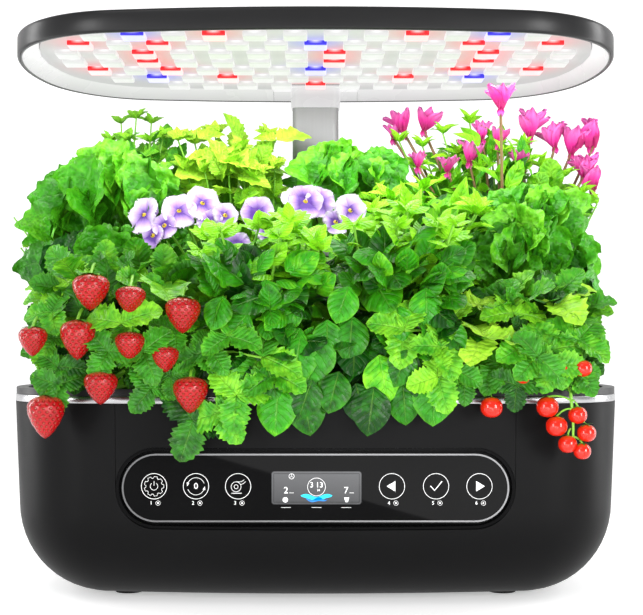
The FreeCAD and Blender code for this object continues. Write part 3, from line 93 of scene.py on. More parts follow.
# Heights read from the frame
SHELL_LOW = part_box("base_shell")[0].z
SHELL_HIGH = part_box("base_shell")[1].z
TRIM_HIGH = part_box("trim_band")[1].z
DECK_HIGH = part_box("grow_deck")[1].z
HOOD_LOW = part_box("hood_shell")[0].z
HOOD_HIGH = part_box("hood_shell")[1].z
LAMP_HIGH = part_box("led_board")[0].z
GLASS_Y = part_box("touch_panel")[0].y
GLASS_Z = (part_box("touch_panel")[0].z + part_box("touch_panel")[1].z) / 2
SHELL_WALL = 2.5 * MM
SHELL_LEAN = 2.5 * MM
BOTTOM_ROUND = 57 * MM
SEAM = 0.25 * MM
RECESS_HALF_LENGTH = 121 * MM
RECESS_HALF_HEIGHT = 24.8 * MM

# Touch fields along the glass
TOUCH_X = [x * MM for x in (-97.8, -72.4, -46.9, 46.3, 73.0, 99.3)]
TOUCH_RADIUS = 7.7 * MM
LINE = 0.32 * MM
MARK_LIFT = 0.06 * MM

# Pods: the first one's inset in the sponges' box, and the pitch of columns and rows
POD_INSET = 13 * MM
POD_PITCH = (92 * MM, 58 * MM)
POD_COLUMNS = 4
POD_ROWS = 3

# Room that leaves keep: from the garden's box on each axis, from the mast and from the fill cap
BOX_ROOM = (6 * MM, 4 * MM, 20 * MM)
MAST_ROOM = 5 * MM
CAP_ROOM = 34 * MM

# How far from the middle plants may be seen on the front plane
MASS_REACH = 172 * MM
LETTUCE_REACH = 160 * MM
TREFOIL_REACH = 157
# Share of the fill leaves that sit inside a plant, darkened there as painted shade
INNER_SHARE = 0.3
GOLDEN_ANGLE = 137.5
MERGE_DISTANCE = 0.01 * MM

# Lamps: W white, R red and B blue, row by row from the front
LAMP_ROWS = (
    "WBWRWWWWRWBW",
    "RWRWWWBWWWRWR",
    "WWRWWWWRWWWRWW",
    "WWRWWWWRWWWRWW",
    "RWRWWWBWWWRWR",
    "WBWRWWWWRWBW",
    "WWWWRWWWW",
)
LAMP_PITCH = (25.4 * MM, 24.4 * MM)
LAMP_FIRST_Y = -73 * MM
LAMP_SIZE = 15 * MM
LAMP_HEIGHT = 3.6 * MM
# How far the painted lamp light on the board spreads round each lamp colour
GLOW_REACH = {"R": 18 * MM, "B": 17 * MM, "W": 12 * MM}
BOARD_INSET = 14.2 * MM

# Fruit: x, z, radius and length of a strawberry; x, z and radius of a tomato, in millimetres
BERRY_Y = -124.6 * MM
BERRIES = (
    (-158.5, 118.7, 11.0, 26.0), (-126.2, 135.7, 10.0, 20.0), (-73.5, 131.5, 10.5, 22.0),
    (-132.0, 191.9, 11.0, 22.0), (-139.7, 164.0, 10.5, 24.0), (-108.7, 187.2, 9.0, 17.0),
    (-78.0, 178.4, 10.5, 22.0), (-166.0, 163.0, 8.5, 18.0), (-109.0, 160.0, 9.0, 18.0),
    (-88.2, 152.5, 8.0, 16.0),
)
TOMATO_Y = -119.6 * MM
TOMATOES = (
    (103.9, 124.0, 6.6), (137.0, 124.2, 6.6), (154.8, 119.4, 5.6), (142.4, 112.9, 6.4),
    (160.1, 108.8, 5.6), (148.9, 102.3, 5.6), (157.5, 98.1, 5.2), (145.9, 145.0, 5.4),
    (158.0, 147.0, 5.4), (122.2, 142.0, 5.0),
)
TRUSS = ((151.0, 128.0), (152.0, 104.0))


def seen_at(x, z, depth):
    """Point at a depth on the eye's line through (x, z), both in millimetres on the front plane."""
    plane = Vector((x * MM, FRONT_Y, z * MM))
    share = (depth * MM - EYE.y) / (FRONT_Y - EYE.y)
    return EYE + (plane - EYE) * share


def clamp(value):
    """Value held between 0 and 1."""
    return min(1.0, max(0.0, value))


def scatter(draw, reach=1):
    """Vector with three random parts."""
    return Vector([draw.uniform(-reach, reach) for _ in range(3)])


def stretch(way, half):
    """Vector stretched axis by axis."""
    return Vector([a * b for a, b in zip(way, half)])


def on_curve(start, control, end, share):
    """Point on the curve between two ends that bends towards a control point."""
    return start * (1 - share) ** 2 + control * 2 * share * (1 - share) + end * share ** 2


def seen_reach(low, high, reach):
    """Reach on the front plane carried back to the middle of a box's depth."""
    return reach * ((low.y + high.y) / 2 - EYE.y) / (FRONT_Y - EYE.y)


def linked(name, data):
    """New object with its data, in the scene."""
    made = bpy.data.objects.new(name, data)
    bpy.context.scene.collection.objects.link(made)
    return made


def alone(piece):
    """Select one object and make it active."""
    bpy.ops.object.select_all(action="DESELECT")
    piece.select_set(True)
    bpy.context.view_layer.objects.active = piece


def edit(piece, *steps):
    """Run edit mode steps on all of a piece; a step is an operator and its settings."""
    alone(piece)
    bpy.ops.object.mode_set(mode="EDIT")
    bpy.ops.mesh.select_all(action="SELECT")
    for operator, settings in steps:
        operator(**settings)
    bpy.ops.object.mode_set(mode="OBJECT")


def close_up(piece):
    """Merge doubles and turn the faces outwards."""
    edit(piece, (bpy.ops.mesh.remove_doubles, {"threshold": MERGE_DISTANCE}),
         (bpy.ops.mesh.normals_make_consistent, {"inside": False}))


def formed(columns, rows, place, closed=False):
    """Grid whose points are put where place(u, v) says, u and v running from -1 to 1."""
    bpy.ops.object.select_all(action="DESELECT")
    bpy.ops.mesh.primitive_grid_add(x_subdivisions=columns, y_subdivisions=rows, size=2)
    piece = bpy.context.object
    for vertex in piece.data.vertices:
        vertex.co = place(vertex.co.x, vertex.co.y)
    if closed:
        close_up(piece)
    bpy.ops.object.shade_smooth()
    return piece


def fill_rims(piece):
    """Close every open edge loop of a piece with a flat face."""
    alone(piece)
    bpy.ops.object.mode_set(mode="EDIT")
    bpy.ops.mesh.select_mode(type="EDGE")
    bpy.ops.mesh.select_all(action="DESELECT")
    bpy.ops.mesh.select_non_manifold()
    bpy.ops.mesh.fill_holes(sides=0)
    bpy.ops.mesh.select_mode(type="VERT")
    bpy.ops.mesh.select_all(action="SELECT")
    bpy.ops.mesh.normals_make_consistent(inside=False)
    bpy.ops.object.mode_set(mode="OBJECT")


def smooth_by_angle(piece, degrees):
    """Shade a piece smooth except at edges sharper than an angle."""
    alone(piece)
    bpy.ops.object.shade_smooth_by_angle(angle=math.radians(degrees))


def apply_modifier(piece, kind, **settings):
    """Add a modifier with its settings and apply it."""
    alone(piece)
    modifier = piece.modifiers.new(kind, kind)
    for name, value in settings.items():
        setattr(modifier, name, value)
    bpy.ops.object.modifier_apply(modifier=modifier.name)


def cut_away(piece, cutter, keep_common=False):
    """Boolean difference or intersection with a cutter, which is then removed."""
    operation = "INTERSECT" if keep_common else "DIFFERENCE"
    apply_modifier(piece, "BOOLEAN", object=cutter, operation=operation, solver="EXACT")
    bpy.data.objects.remove(cutter)


def join(pieces):
    """Join pieces into the first one."""
    alone(pieces[0])
    for piece in pieces[1:]:
        piece.select_set(True)
    bpy.ops.object.join()
    return pieces[0]


def settle(piece, name, body, stands_for=(), materials=()):
    """Name a finished piece, put its place into its mesh and tie it to a body."""
    alone(piece)
    bpy.ops.object.transform_apply(location=True, rotation=True, scale=True)
    piece.name = name
    piece.data.name = name
    if materials:
        piece.data.materials.clear()
        for material in materials:
            piece.data.materials.append(material)
    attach(piece, body)
    if stands_for:
        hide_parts(*stands_for)
    return piece


def copy_of(template, matrix=None):
    """Copy of a template with its own mesh, moved by a matrix."""
    piece = linked(template.name, template.data.copy())
    if matrix is not None:
        piece.data.transform(matrix)
    return piece


class Value:
    """A number or colour on its way through a material; sums of numbers add Math nodes."""

    def __init__(self, surface, socket):
        self.surface = surface
        self.socket = socket

    def math(self, operation, other=0.0, swap=False):
        pair = (other, self) if swap else (self, other)
        return self.surface.node("ShaderNodeMath", {"operation": operation}, dict(enumerate(pair)))

    def __add__(self, other):
        return self.math("ADD", other)

    def __sub__(self, other):
        return self.math("SUBTRACT", other)

    def __rsub__(self, other):
        return self.math("SUBTRACT", other, swap=True)

    def __mul__(self, other):
        return self.math("MULTIPLY", other)

    def __truediv__(self, other):
        return self.math("DIVIDE", other)

    def __abs__(self):
        return self.math("ABSOLUTE")

    def fraction(self):
        return self.math("FRACT")

    def clamped(self):
        return self.math("MINIMUM", 1.0).math("MAXIMUM", 0.0)

    def larger(self, other):
        return self.math("MAXIMUM", other)

    def between(self, low, high):
        """0 at low, 1 at high, even in between."""
        return ((self - low) / (high - low)).clamped()


class Surface:
    """One material, built node by node onto a Principled shader."""

    def __init__(self, name):
        self.material = bpy.data.materials.new(name)
        self.material.use_nodes = True
        self.tree = self.material.node_tree
        self.shader = self.tree.nodes["Principled BSDF"]

    def node(self, kind, settings=None, sockets=None, output=0):
        made = self.tree.nodes.new(kind)
        for name, value in (settings or {}).items():
            if name == "stops":
                self.set_stops(made.color_ramp, value)
            else:
                setattr(made, name, value)
        for key, value in (sockets or {}).items():
            self.put(made.inputs[key], value)
        return Value(self, made.outputs[output])

    def put(self, socket, value):
        if isinstance(value, Value):
            self.tree.links.new(value.socket, socket)
        else:
            socket.default_value = value

    @staticmethod
    def set_stops(ramp, stops):
        while len(ramp.elements) < len(stops):
            ramp.elements.new(0.5)
        for element, (place, colour) in zip(ramp.elements, stops):
            element.position = place
            element.color = colour

    def mix(self, share, first, second):
        return self.node("ShaderNodeMix", {"data_type": "RGBA"}, {0: share, 6: first, 7: second}, 2)

    def ramp(self, share, *stops):
        return self.node("ShaderNodeValToRGB", {"stops": stops}, {0: share})

    def place(self):
        """Object coordinates."""
        return self.node("ShaderNodeTexCoord", output=3)

    def split(self, vector):
        """The three numbers of a vector."""
        parts = self.tree.nodes.new("ShaderNodeSeparateXYZ")
        self.put(parts.inputs[0], vector)
        return [Value(self, output) for output in parts.outputs]

    def along(self):
        """The piece's own UV map as two numbers."""
        return self.split(self.node("ShaderNodeTexCoord", output=2))[:2]

    def axes(self):
        """Object coordinates as three numbers."""
        return self.split(self.place())

    def attribute(self, name):
        return self.node("ShaderNodeAttribute", {"attribute_name": name}, output=2)

    def noise(self, scale, detail, vector=None):
        sockets = {"Vector": vector or self.place(), "Scale": scale, "Detail": detail}
        return self.node("ShaderNodeTexNoise", None, sockets)

    def cells(self, scale):
        return self.node("ShaderNodeTexVoronoi", None, {"Vector": self.place(), "Scale": scale})

    def stretched(self, scale):
        """Object coordinates stretched unevenly."""
        return self.node("ShaderNodeMapping", None, {"Vector": self.place(), "Scale": scale})

    def finish(self, bump=None, relief=0.0002, strength=0.5, **sockets):
        """Set the shader's sockets; names are written with _ for a space."""
        if bump is not None:
            settings = {"Height": bump, "Distance": relief, "Strength": strength}
            self.put(self.shader.inputs["Normal"], self.node("ShaderNodeBump", None, settings))
        for name, value in sockets.items():
            self.put(self.shader.inputs[name.replace("_", " ")], value)
        return self.material


def rgba(colour, share=1.0):
    """Colour with its alpha, made darker or lighter by a share."""
    return (colour[0] * share, colour[1] * share, colour[2] * share, 1.0)


def moulded(name, colour, roughness, grain=1400.0, relief=0.00003, level=0.3, ior=1.45):
    """Moulded plastic: fine grain, faint cloudy tone and light wear in the gloss."""
    s = Surface(name)
    cloud = s.noise(18.0, 4.0)
    fine = s.noise(grain, 3.0)
    scuff = s.noise(220.0, 6.0, s.stretched((1.0, 1.0, 5.0))).between(0.62, 0.8)
    base = s.mix(cloud, rgba(colour, 0.82), rgba(colour, 1.25))
    base = s.mix(scuff * 0.12, base, rgba([c * 0.8 + 0.02 for c in colour]))
    rough = fine * 0.10 + cloud * 0.06 + (roughness - 0.08) + scuff * 0.06
    return s.finish(fine, relief, 0.35, Base_Color=base, Roughness=rough,
                    Specular_IOR_Level=level, IOR=ior)


def brushed(name, colour, roughness, grain_scale, metal=1.0):
    """Satin metal with fine drawn lines."""
    s = Surface(name)
    lines = s.noise(1.0, 4.0, s.stretched(grain_scale))
    cloud = s.noise(25.0, 3.0)
    base = s.mix(lines * 0.6 + cloud * 0.2, rgba(colour, 0.82), rgba(colour, 1.08))
    rough = lines * 0.12 + cloud * 0.05 + (roughness - 0.08)
    return s.finish(lines, 0.00002, 0.3, Base_Color=base, Roughness=rough, Metallic=metal)


def glowing(name, face, side, strength, low, high):
    """Lamp lens: pale glowing face, deep coloured front and back with a hot spot by the board."""
    s = Surface(name)
    height = s.axes()[2].between(low + (high - low) * 0.35, high)
    front = (abs(s.split(s.node("ShaderNodeNewGeometry", output=1))[1]) * 1.6 - 0.4).clamped()
    hot = (s.attribute("middle") * 1.9 - 0.7).clamped() * height
    ripple = s.cells(900.0)
    flank = s.mix(hot, rgba(side), rgba((1.0, 1.0, 1.0)))
    glow = s.mix(front, rgba(face), flank)
    base = s.mix(front, rgba((0.12, 0.12, 0.12)), rgba(side, 0.3))
    return s.finish(ripple, 0.0001, 0.3, Base_Color=base, Roughness=ripple * 0.1 + 0.3,
                    Emission_Color=glow, Emission_Strength=strength)


def leaf_surface(name, deep, fresh, pale, veins, shine, glow, rib_width=0.07, vein_tone=0.26,
                 blister=0.3, gloss=0.28):
    """Leaf with a midrib and slanting side veins, and a tint that each leaf carries itself: its own
    paleness together with painted shade and light, low for shaded leaves and high for lit ones.
    """
    s = Surface(name)
    u, v = s.along()
    tint = s.attribute("tint")
    patch = s.noise(160.0, 4.0)
    across = abs(u * 2.0 - 1.0)
    rib = (1.0 - across / rib_width).clamped() * (1.0 - v * 0.6)
    slant = (v - across * 0.26 + patch * 0.05) * veins
    stripe = abs(slant.fraction() - 0.5) * 2.0
    side = stripe.between(0.86, 1.0) * (1.0 - across * 0.85)
    vein = rib.larger(side * 0.6)
    bubbles = s.cells(330.0)
    # Painted shade and light: the tint, with random patches, picks the leaf colour from deep to pale
    shade = (tint + (patch - 0.5) * 0.8).clamped()
    body = s.ramp(shade, (0.0, rgba(deep)), (0.5, rgba(fresh)), (1.0, rgba(pale)))
    # Painted shade: the hollows of the blisters are darkened
    body = s.mix((1.0 - bubbles.between(0.0, 0.5)) * blister, body, rgba(deep, 0.8))
    rim = across.between(0.7, 1.0).larger(v.between(0.86, 1.0))
    body = s.mix(rim * tint * 0.35, body, rgba(pale))
    body = s.mix(vein * vein_tone, body, rgba([c * 0.7 + 0.10 for c in pale]))
    quilt = (1.0 - stripe) * 0.22 + patch * 0.6 - vein * 0.6 + bubbles * blister
    rough = patch * 0.2 + (shine - 0.1)
    # Painted glow: the leaf gives off a little light, paler where its tint is high
    lit = s.mix(shade, rgba(deep, glow * 0.2), rgba(pale, glow))
    return s.finish(quilt, 0.0018, 0.75, Base_Color=body, Roughness=rough, Emission_Color=lit,
                    Emission_Strength=1.0, Specular_IOR_Level=gloss)


def stalk_surface(name, colour, other):
    """Thin ribbed stalk."""
    s = Surface(name)
    ridge = (s.along()[0] * 9.0).fraction()
    tone = s.noise(90.0, 3.0)
    base = s.mix(tone, rgba(colour), rgba(other))
    # Painted glow: the stalk gives off a little light in its own colour
    return s.finish(ridge, 0.0002, 0.4, Base_Color=base, Roughness=tone * 0.2 + 0.4,
                    Emission_Color=rgba(colour, 0.10), Emission_Strength=1.0)


def petal_surface(name, heart, body, rim, glow):
    """Petal that runs from a dark heart to a pale rim, with fine streaks."""
    s = Surface(name)
    v = s.along()[1]
    tint = s.attribute("tint")
    streak = s.noise(1.0, 3.0, s.node("ShaderNodeMapping", None, {
        "Vector": s.node("ShaderNodeTexCoord", output=2), "Scale": (26.0, 2.0, 1.0)}))
    reach = (v + (streak - 0.5) * 0.22 + tint * 0.55).clamped()
    colour = s.ramp(reach, (0.0, rgba(heart)), (0.34, rgba(heart)), (0.60, rgba(body)),
                    (1.0, rgba(rim)))
    # Painted glow: the petal gives off a faint light in its colours, as much as glow says
    lit = s.mix(0.5, colour, rgba(rim, 0.4))
    petal_painted_glow = s.mix(1.0 - glow, lit, rgba((0.0, 0.0, 0.0)))
    return s.finish(streak, 0.0003, 0.4, Base_Color=colour, Roughness=streak * 0.2 + 0.45,
                    Emission_Color=petal_painted_glow, Emission_Strength=1.0)


def berry_surface(name, red, dark, seed):
    """Strawberry skin: seeds in offset rows, each in its own dimple."""
    s = Surface(name)
    u, v = s.along()
    row = v * 12.0
    half_row = row.math("FLOOR") * 0.5
    a = (u * 15.0 + half_row).fraction() - 0.5
    b = row.fraction() - 0.5
    far = (a * a * 2.2 + b * b * 0.9).math("SQRT")
    pip = 1.0 - far.between(0.08, 0.15)
    dimple = 1.0 - far.between(0.12, 0.46)
    tone = s.noise(60.0, 3.0)
    base = s.mix(tone, rgba(red), rgba(dark))
    base = s.mix(v.between(0.84, 1.0) * 0.25, base, rgba((0.9, 0.35, 0.15)))
    # Painted shade: the dimple round each seed is darkened
    base = s.mix(dimple * 0.55, base, rgba(dark, 0.45))
    base = s.mix(pip * 0.6, base, rgba(seed))
    height = pip * 0.7 - dimple
    # Painted glow: the skin gives off a faint red light
    return s.finish(height, 0.0009, 0.8, Base_Color=base, Roughness=tone * 0.12 + 0.18,
                    Coat_Weight=0.22, Coat_Roughness=0.15, Specular_IOR_Level=0.3,
                    Emission_Color=rgba(red, 0.02), Emission_Strength=1.0)


def tomato_surface(name, red, orange):
    """Thin shiny skin with a paler shoulder."""
    s = Surface(name)
    v = s.along()[1]
    tone = s.noise(70.0, 3.0)
    base = s.mix(v.between(0.75, 1.0) * 0.7, rgba(red), rgba(orange))
    base = s.mix(tone * 0.3, base, rgba(red, 0.6))
    # Painted glow: the skin gives off a faint red light
    return s.finish(tone, 0.0001, 0.2, Base_Color=base, Roughness=tone * 0.08 + 0.12,
                    Coat_Weight=0.3, Coat_Roughness=0.06, Specular_IOR_Level=0.3,
                    Emission_Color=rgba(red, 0.03), Emission_Strength=1.0)


def paint_nodes(material, *nodes):
    """Give frame parts a material in their own slots."""
    for name in nodes:
        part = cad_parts[name]
        part.data.materials.clear()
        part.data.materials.append(material)


def plan_arcs(plan):
    """Centre, radius, start and end angle of an outline's eight arcs, anticlockwise from +X."""
    half_width, half_depth, front_radius, side_radius, corner_radius = plan
    back = Vector((0, half_depth - front_radius))
    side = Vector((half_width - side_radius, 0))
    to_back = front_radius - corner_radius
    to_side = side_radius - corner_radius
    span = side - back
    along = (to_back ** 2 - to_side ** 2 + span.length ** 2) / (2 * span.length)
    across = math.sqrt(to_back ** 2 - along ** 2)
    unit = span.normalized()
    corner = back + unit * along + Vector((-unit.y, unit.x)) * across
    if corner.x < 0 or corner.y < 0:
        corner = back + unit * along - Vector((-unit.y, unit.x)) * across
    low = math.atan2(corner.y, corner.x - side.x)
    high = math.atan2(corner.y - back.y, corner.x)
    turn = math.pi
    return [
        (side, side_radius, -low, low),
        (corner, corner_radius, low, high),
        (back, front_radius, high, turn - high),
        (Vector((-corner.x, corner.y)), corner_radius, turn - high, turn - low),
        (-side, side_radius, turn - low, turn + low),
        (-corner, corner_radius, turn + low, turn + high),
        (-back, front_radius, turn + high, 2 * turn - high),
        (Vector((corner.x, -corner.y)), corner_radius, 2 * turn - high, 2 * turn - low),
    ]


def plan_stations(plan):
    """Every station of an outline as (centre, radius, angle), once round and back to the first."""
    stations = []
    for place, (centre, radius, start, end) in enumerate(plan_arcs(plan)):
        steps = CORNER_STEPS if place % 2 else WIDE_STEPS
        for step in range(steps):
            stations.append((centre, radius, start + (end - start) * step / steps))
    return stations + stations[:1]


def plan_wall(plan, profile):
    """Wall that follows an outline; profile holds (inset, height) pairs."""
    stations = plan_stations(plan)
    columns = len(stations) - 1
    rows = len(profile) - 1

    def place(u, v):
        centre, radius, angle = stations[round((u + 1) / 2 * columns)]
        inset, height = profile[round((v + 1) / 2 * rows)]
        return (centre.x + (radius - inset) * math.cos(angle),
                centre.y + (radius - inset) * math.sin(angle), height)

    return formed(columns, rows, place, closed=True)


def bowl_profile(offset, steps):
    """Profile of the base's outer surface, drawn in by an offset, from the bottom up."""
    inset = SHELL_LEAN + BOTTOM_ROUND
    middle = SHELL_LOW + BOTTOM_ROUND
    radius = BOTTOM_ROUND - offset
    profile = []
    for step in range(steps + 1):
        turn = math.pi / 2 * (1 - step / steps)
        profile.append((inset - radius * math.cos(turn), middle - radius * math.sin(turn)))
    return profile


def bowl(offset, steps, thick):
    """Closed skin of the base's form, thick inwards, open at the top."""
    straight = 4
    sides = []
    for inset in (offset, offset + thick):
        side = bowl_profile(inset, steps)
        low_z = side[-1][1]
        for step in range(1, straight + 1):
            share = step / straight
            side.append((SHELL_LEAN * (1 - share) + inset * share,
                         low_z + (SHELL_HIGH - low_z) * share))
        sides.append(side)
    skin = plan_wall(BASE_PLAN, sides[0] + sides[1][::-1])
    fill_rims(skin)
    return skin


def bar_between(low, high):
    """Block between two corners."""
    bpy.ops.object.select_all(action="DESELECT")
    middle = (Vector(low) + Vector(high)) / 2
    size = Vector(high) - Vector(low)
    bpy.ops.mesh.primitive_cube_add(size=1, location=middle, scale=size)
    piece = bpy.context.object
    bpy.ops.object.transform_apply(location=True, rotation=True, scale=True)
    return piece


def stadium(half_length, half_height, front, back):
    """Long bar with round ends between two depths."""
    sides = 64
    flat = half_length - half_height
    bpy.ops.object.select_all(action="DESELECT")
    bpy.ops.mesh.primitive_cylinder_add(vertices=sides, radius=1, depth=2, end_fill_type="NGON")
    piece = bpy.context.object
    for vertex in piece.data.vertices:
        angle = math.atan2(vertex.co.y, vertex.co.x) + 0.0001
        shift = flat if math.cos(angle) >= 0 else -flat
        vertex.co = (shift + half_height * math.cos(angle), front if vertex.co.z > 0 else back,
                     GLASS_Z + half_height * math.sin(angle))
    close_up(piece)
    return piece


def fascia_block(gap):
    """U-shaped block that the fascia and the dish take up in the front wall."""
    half = RECESS_HALF_LENGTH - gap
    front = FRONT_Y - 5 * MM
    back = FRONT_Y + 32 * MM
    block = bar_between((-half, front, GLASS_Z), (half, back, SHELL_HIGH + 5 * MM))
    dish = stadium(half, RECESS_HALF_HEIGHT - gap, front, back)
    apply_modifier(block, "BOOLEAN", object=dish, operation="UNION", solver="EXACT")
    bpy.data.objects.remove(dish)
    return block


def colour_property(name, description, default):
    """Setting that holds a colour."""
    return FloatVectorProperty(name=name, description=description, subtype="COLOR",
                               default=default, min=0.0, max=1.0)


class GardenSettings(bpy.types.PropertyGroup):
    """Colours, lamp strength, fullness and seed of the garden's looks."""

    body_colour: colour_property(
        "Body", "Colour of the base and its panel", (0.0034, 0.0034, 0.0036))
    hood_colour: colour_property(
        "Hood", "Colour of the lamp hood", (0.013, 0.013, 0.0135))
    trim_colour: colour_property(
        "Band", "Colour of the silver band", (0.46, 0.46, 0.47))
    # The three leaf colours make each leaf's ramp, which also carries painted shade and light: deep for
    # shaded leaves, pale for lit ones
    leaf_deep: colour_property(
        "Deep leaf", "Leaf colour in the shade", (0.003, 0.045, 0.002))
    leaf_fresh: colour_property(
        "Fresh leaf", "Leaf colour in the open", (0.040, 0.29, 0.008))
    leaf_pale: colour_property(
        "Young leaf", "Colour of the youngest leaves", (0.30, 0.72, 0.022))
    lilac: colour_property(
        "Pansy", "Rim colour of the pansies", (0.86, 0.76, 0.94))
    magenta: colour_property(
        "Cyclamen", "Rim colour of the cyclamens", (0.88, 0.16, 0.55))
    berry_red: colour_property(
        "Fruit", "Colour of ripe fruit", (0.46, 0.003, 0.005))
    # Lamp strength also scales the painted lamp light on the reflector and the board
    lamp_strength: FloatProperty(
        name="Lamps", description="How strongly the lamps glow", default=1.0, min=0.0)
    fullness: FloatProperty(
        name="Fullness", description="Share of the usual number of leaves", default=1.0, min=0.1)
    seed: IntProperty(name="Seed", description="Start of the random draws", default=7)


def settings():
    """The garden's settings in the current scene."""
    return bpy.context.scene.garden


# Plastics of the plain parts: name, colour, roughness, grain and relief, and the nodes they paint
PLASTICS = (
    (("tank_plastic", (0.010, 0.010, 0.0105), 0.42),
     ("water_tank", "grow_deck", "mast_socket", "bottom_cover")),
    (("net_basket_plastic", (0.012, 0.012, 0.012), 0.55),
     ("baskets_front", "baskets_middle", "baskets_back")),
    (("port_plastic", (0.014, 0.014, 0.015), 0.35), ("fill_port", "fill_cap")),
    (("pump_plastic", (0.02, 0.02, 0.022), 0.4),
     ("pump_housing", "pump_strainer", "pump_impeller", "spray_head", "dc_jack")),
    (("foot_rubber", (0.012, 0.012, 0.012), 0.8, 500.0), ("rubber_feet",)),
    (("milky_pipe", (0.62, 0.64, 0.66), 0.35), ("riser_pipe", "float_stem")),
    (("white_float", (0.8, 0.8, 0.78), 0.7, 600.0, 0.0001), ("level_float",)),
    (("ceramic_white", (0.85, 0.85, 0.83), 0.2), ("pump_shaft",)),
    (("board_green", (0.02, 0.12, 0.04), 0.4), ("control_board",)),
)


class GARDEN_OT_casing(bpy.types.Operator):
    """Rounded base shell, its front panel, the silver band and the finish of the dark parts"""
    bl_idname = "garden.casing"
    bl_label = "Base casing"

    def execute(self, context):
        body = settings().body_colour
        plastic = moulded("charcoal_shell", body, 0.44, level=0.5, ior=1.17)
        shell = bowl(0.0, 14, SHELL_WALL)
        cut_away(shell, fascia_block(0.0))
        low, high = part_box("bottom_cover")
        cut_away(shell, bar_between((low.x, low.y, low.z - MM), (high.x, high.y, high.z + 4 * MM)))
        low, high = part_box("dc_jack")
        hole = (high.z - low.z) / 2 - 1.2 * MM
        bpy.ops.mesh.primitive_cylinder_add(
            vertices=32, radius=hole, depth=30 * MM, rotation=(math.pi / 2, 0, 0),
            location=((low.x + high.x) / 2, high.y, (low.z + high.z) / 2))
        cut_away(shell, bpy.context.object)
        smooth_by_angle(shell, 24)
        settle(shell, "base_casing", "base", ["base_shell"], [plastic])

        fascia = bowl(0.0, 4, 2.2 * MM)
        cut_away(fascia, fascia_block(SEAM), keep_common=True)
        cut_away(fascia, stadium(RECESS_HALF_LENGTH, RECESS_HALF_HEIGHT,
                                 FRONT_Y - 6 * MM, FRONT_Y + 40 * MM))
        far = 300 * MM
        cut_away(fascia, bar_between((-far, -far, -far), (far, far, GLASS_Z)))
        smooth_by_angle(fascia, 24)
        settle(fascia, "front_panel", "base", ["front_fascia"],
               [moulded("charcoal_panel", body, 0.43, level=0.5, ior=1.17)])

        edge = 0.5 * MM
        wall = 3 * MM
        band = plan_wall(BASE_PLAN, [
            (edge, SHELL_HIGH), (0.0, SHELL_HIGH + edge), (0.0, TRIM_HIGH - edge),
            (edge, TRIM_HIGH), (wall, TRIM_HIGH), (wall, SHELL_HIGH), (edge, SHELL_HIGH)])
        smooth_by_angle(band, 50)
        settle(band, "silver_band", "base", ["trim_band"],
               [brushed("silver_band_metal", settings().trim_colour, 0.26, (4.0, 4.0, 2500.0))])

        for values, nodes in PLASTICS:
            paint_nodes(moulded(*values), *nodes)
        paint_nodes(brushed("screw_steel", (0.6, 0.6, 0.6), 0.3, (900.0, 900.0, 60.0)),
                    "fill_cap_pin", "cover_screws", "hood_screws", "touch_springs")
        return {"FINISHED"}


class GARDEN_OT_sponges(bpy.types.Operator):
    """Foam plugs in the twelve pods"""
    bl_idname = "garden.sponges"
    bl_label = "Grow sponges"

    def execute(self, context):
        s = Surface("open_foam")
        pores = s.cells(520.0)
        tone = s.noise(60.0, 4.0)
        base = s.mix(tone, rgba((0.10, 0.06, 0.035)), rgba((0.24, 0.16, 0.10)))
        base = s.mix(1.0 - pores.between(0.05, 0.4), base, rgba((0.03, 0.018, 0.01)))
        foam = s.finish(pores, 0.001, 0.9, Base_Color=base, Roughness=tone * 0.1 + 0.85)
        low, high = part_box("grow_sponges")
        shoulder = 0.85
        crown = 1.5 * MM

        def place(u, v):
            angle = math.pi * (u + 1)
            share = (v + 1) / 2
            past = max(0.0, (share - shoulder) / (1 - shoulder))
            radius = (9.4 + 3.7 * min(1.0, share / 0.9)) * MM * max(0.0, 1 - past ** 3)
            radius *= 1 + 0.02 * math.sin(5 * angle + 9 * share)
            height = low.z + (high.z - low.z - crown) * min(1.0, share / shoulder) + crown * past
            return (radius * math.cos(angle), radius * math.sin(angle), height)

        plug = formed(20, 14, place, closed=True)
        fill_rims(plug)
        plugs = []
        for row in range(POD_ROWS):
            for column in range(POD_COLUMNS):
                centre = pod(column, row)
                plugs.append(copy_of(plug, Matrix.Translation((centre.x, centre.y, 0))))
        bpy.data.objects.remove(plug)
        settle(join(plugs), "foam_plugs", "base", ["grow_sponges"], [foam])
        return {"FINISHED"}


def line_mark(points, width, closed=False):
    """Printed line on the glass through (x, z) points."""
    data = bpy.data.curves.new("line", "CURVE")
    data.dimensions = "3D"
    data.bevel_depth = width / 2
    data.bevel_resolution = 1
    spline = data.splines.new("POLY")
    spline.points.add(len(points) - 1)
    for point, (x, z) in zip(spline.points, points):
        point.co = (x, 0.0, z, 1.0)
    spline.use_cyclic_u = closed
    alone(linked("line", data))
    bpy.ops.object.convert(target="MESH")
    piece = bpy.context.object
    for vertex in piece.data.vertices:
        vertex.co.y = GLASS_Y - MARK_LIFT + vertex.co.y * 0.2
    return piece


def polar(x, z, radius, degrees):
    """Point at a radius and an angle from (x, z)."""
    angle = math.radians(degrees)
    return (x + radius * math.cos(angle), z + radius * math.sin(angle))


def arc_points(x, z, radius, start=0.0, end=360.0, steps=40):
    """Points on a circle from one angle to another, in degrees."""
    return [polar(x, z, radius, start + (end - start) * step / steps) for step in range(steps + 1)]


def ring_mark(x, z, radius, width=LINE, steps=48):
    """Printed circle."""
    return line_mark(arc_points(x, z, radius, steps=steps)[:-1], width, closed=True)


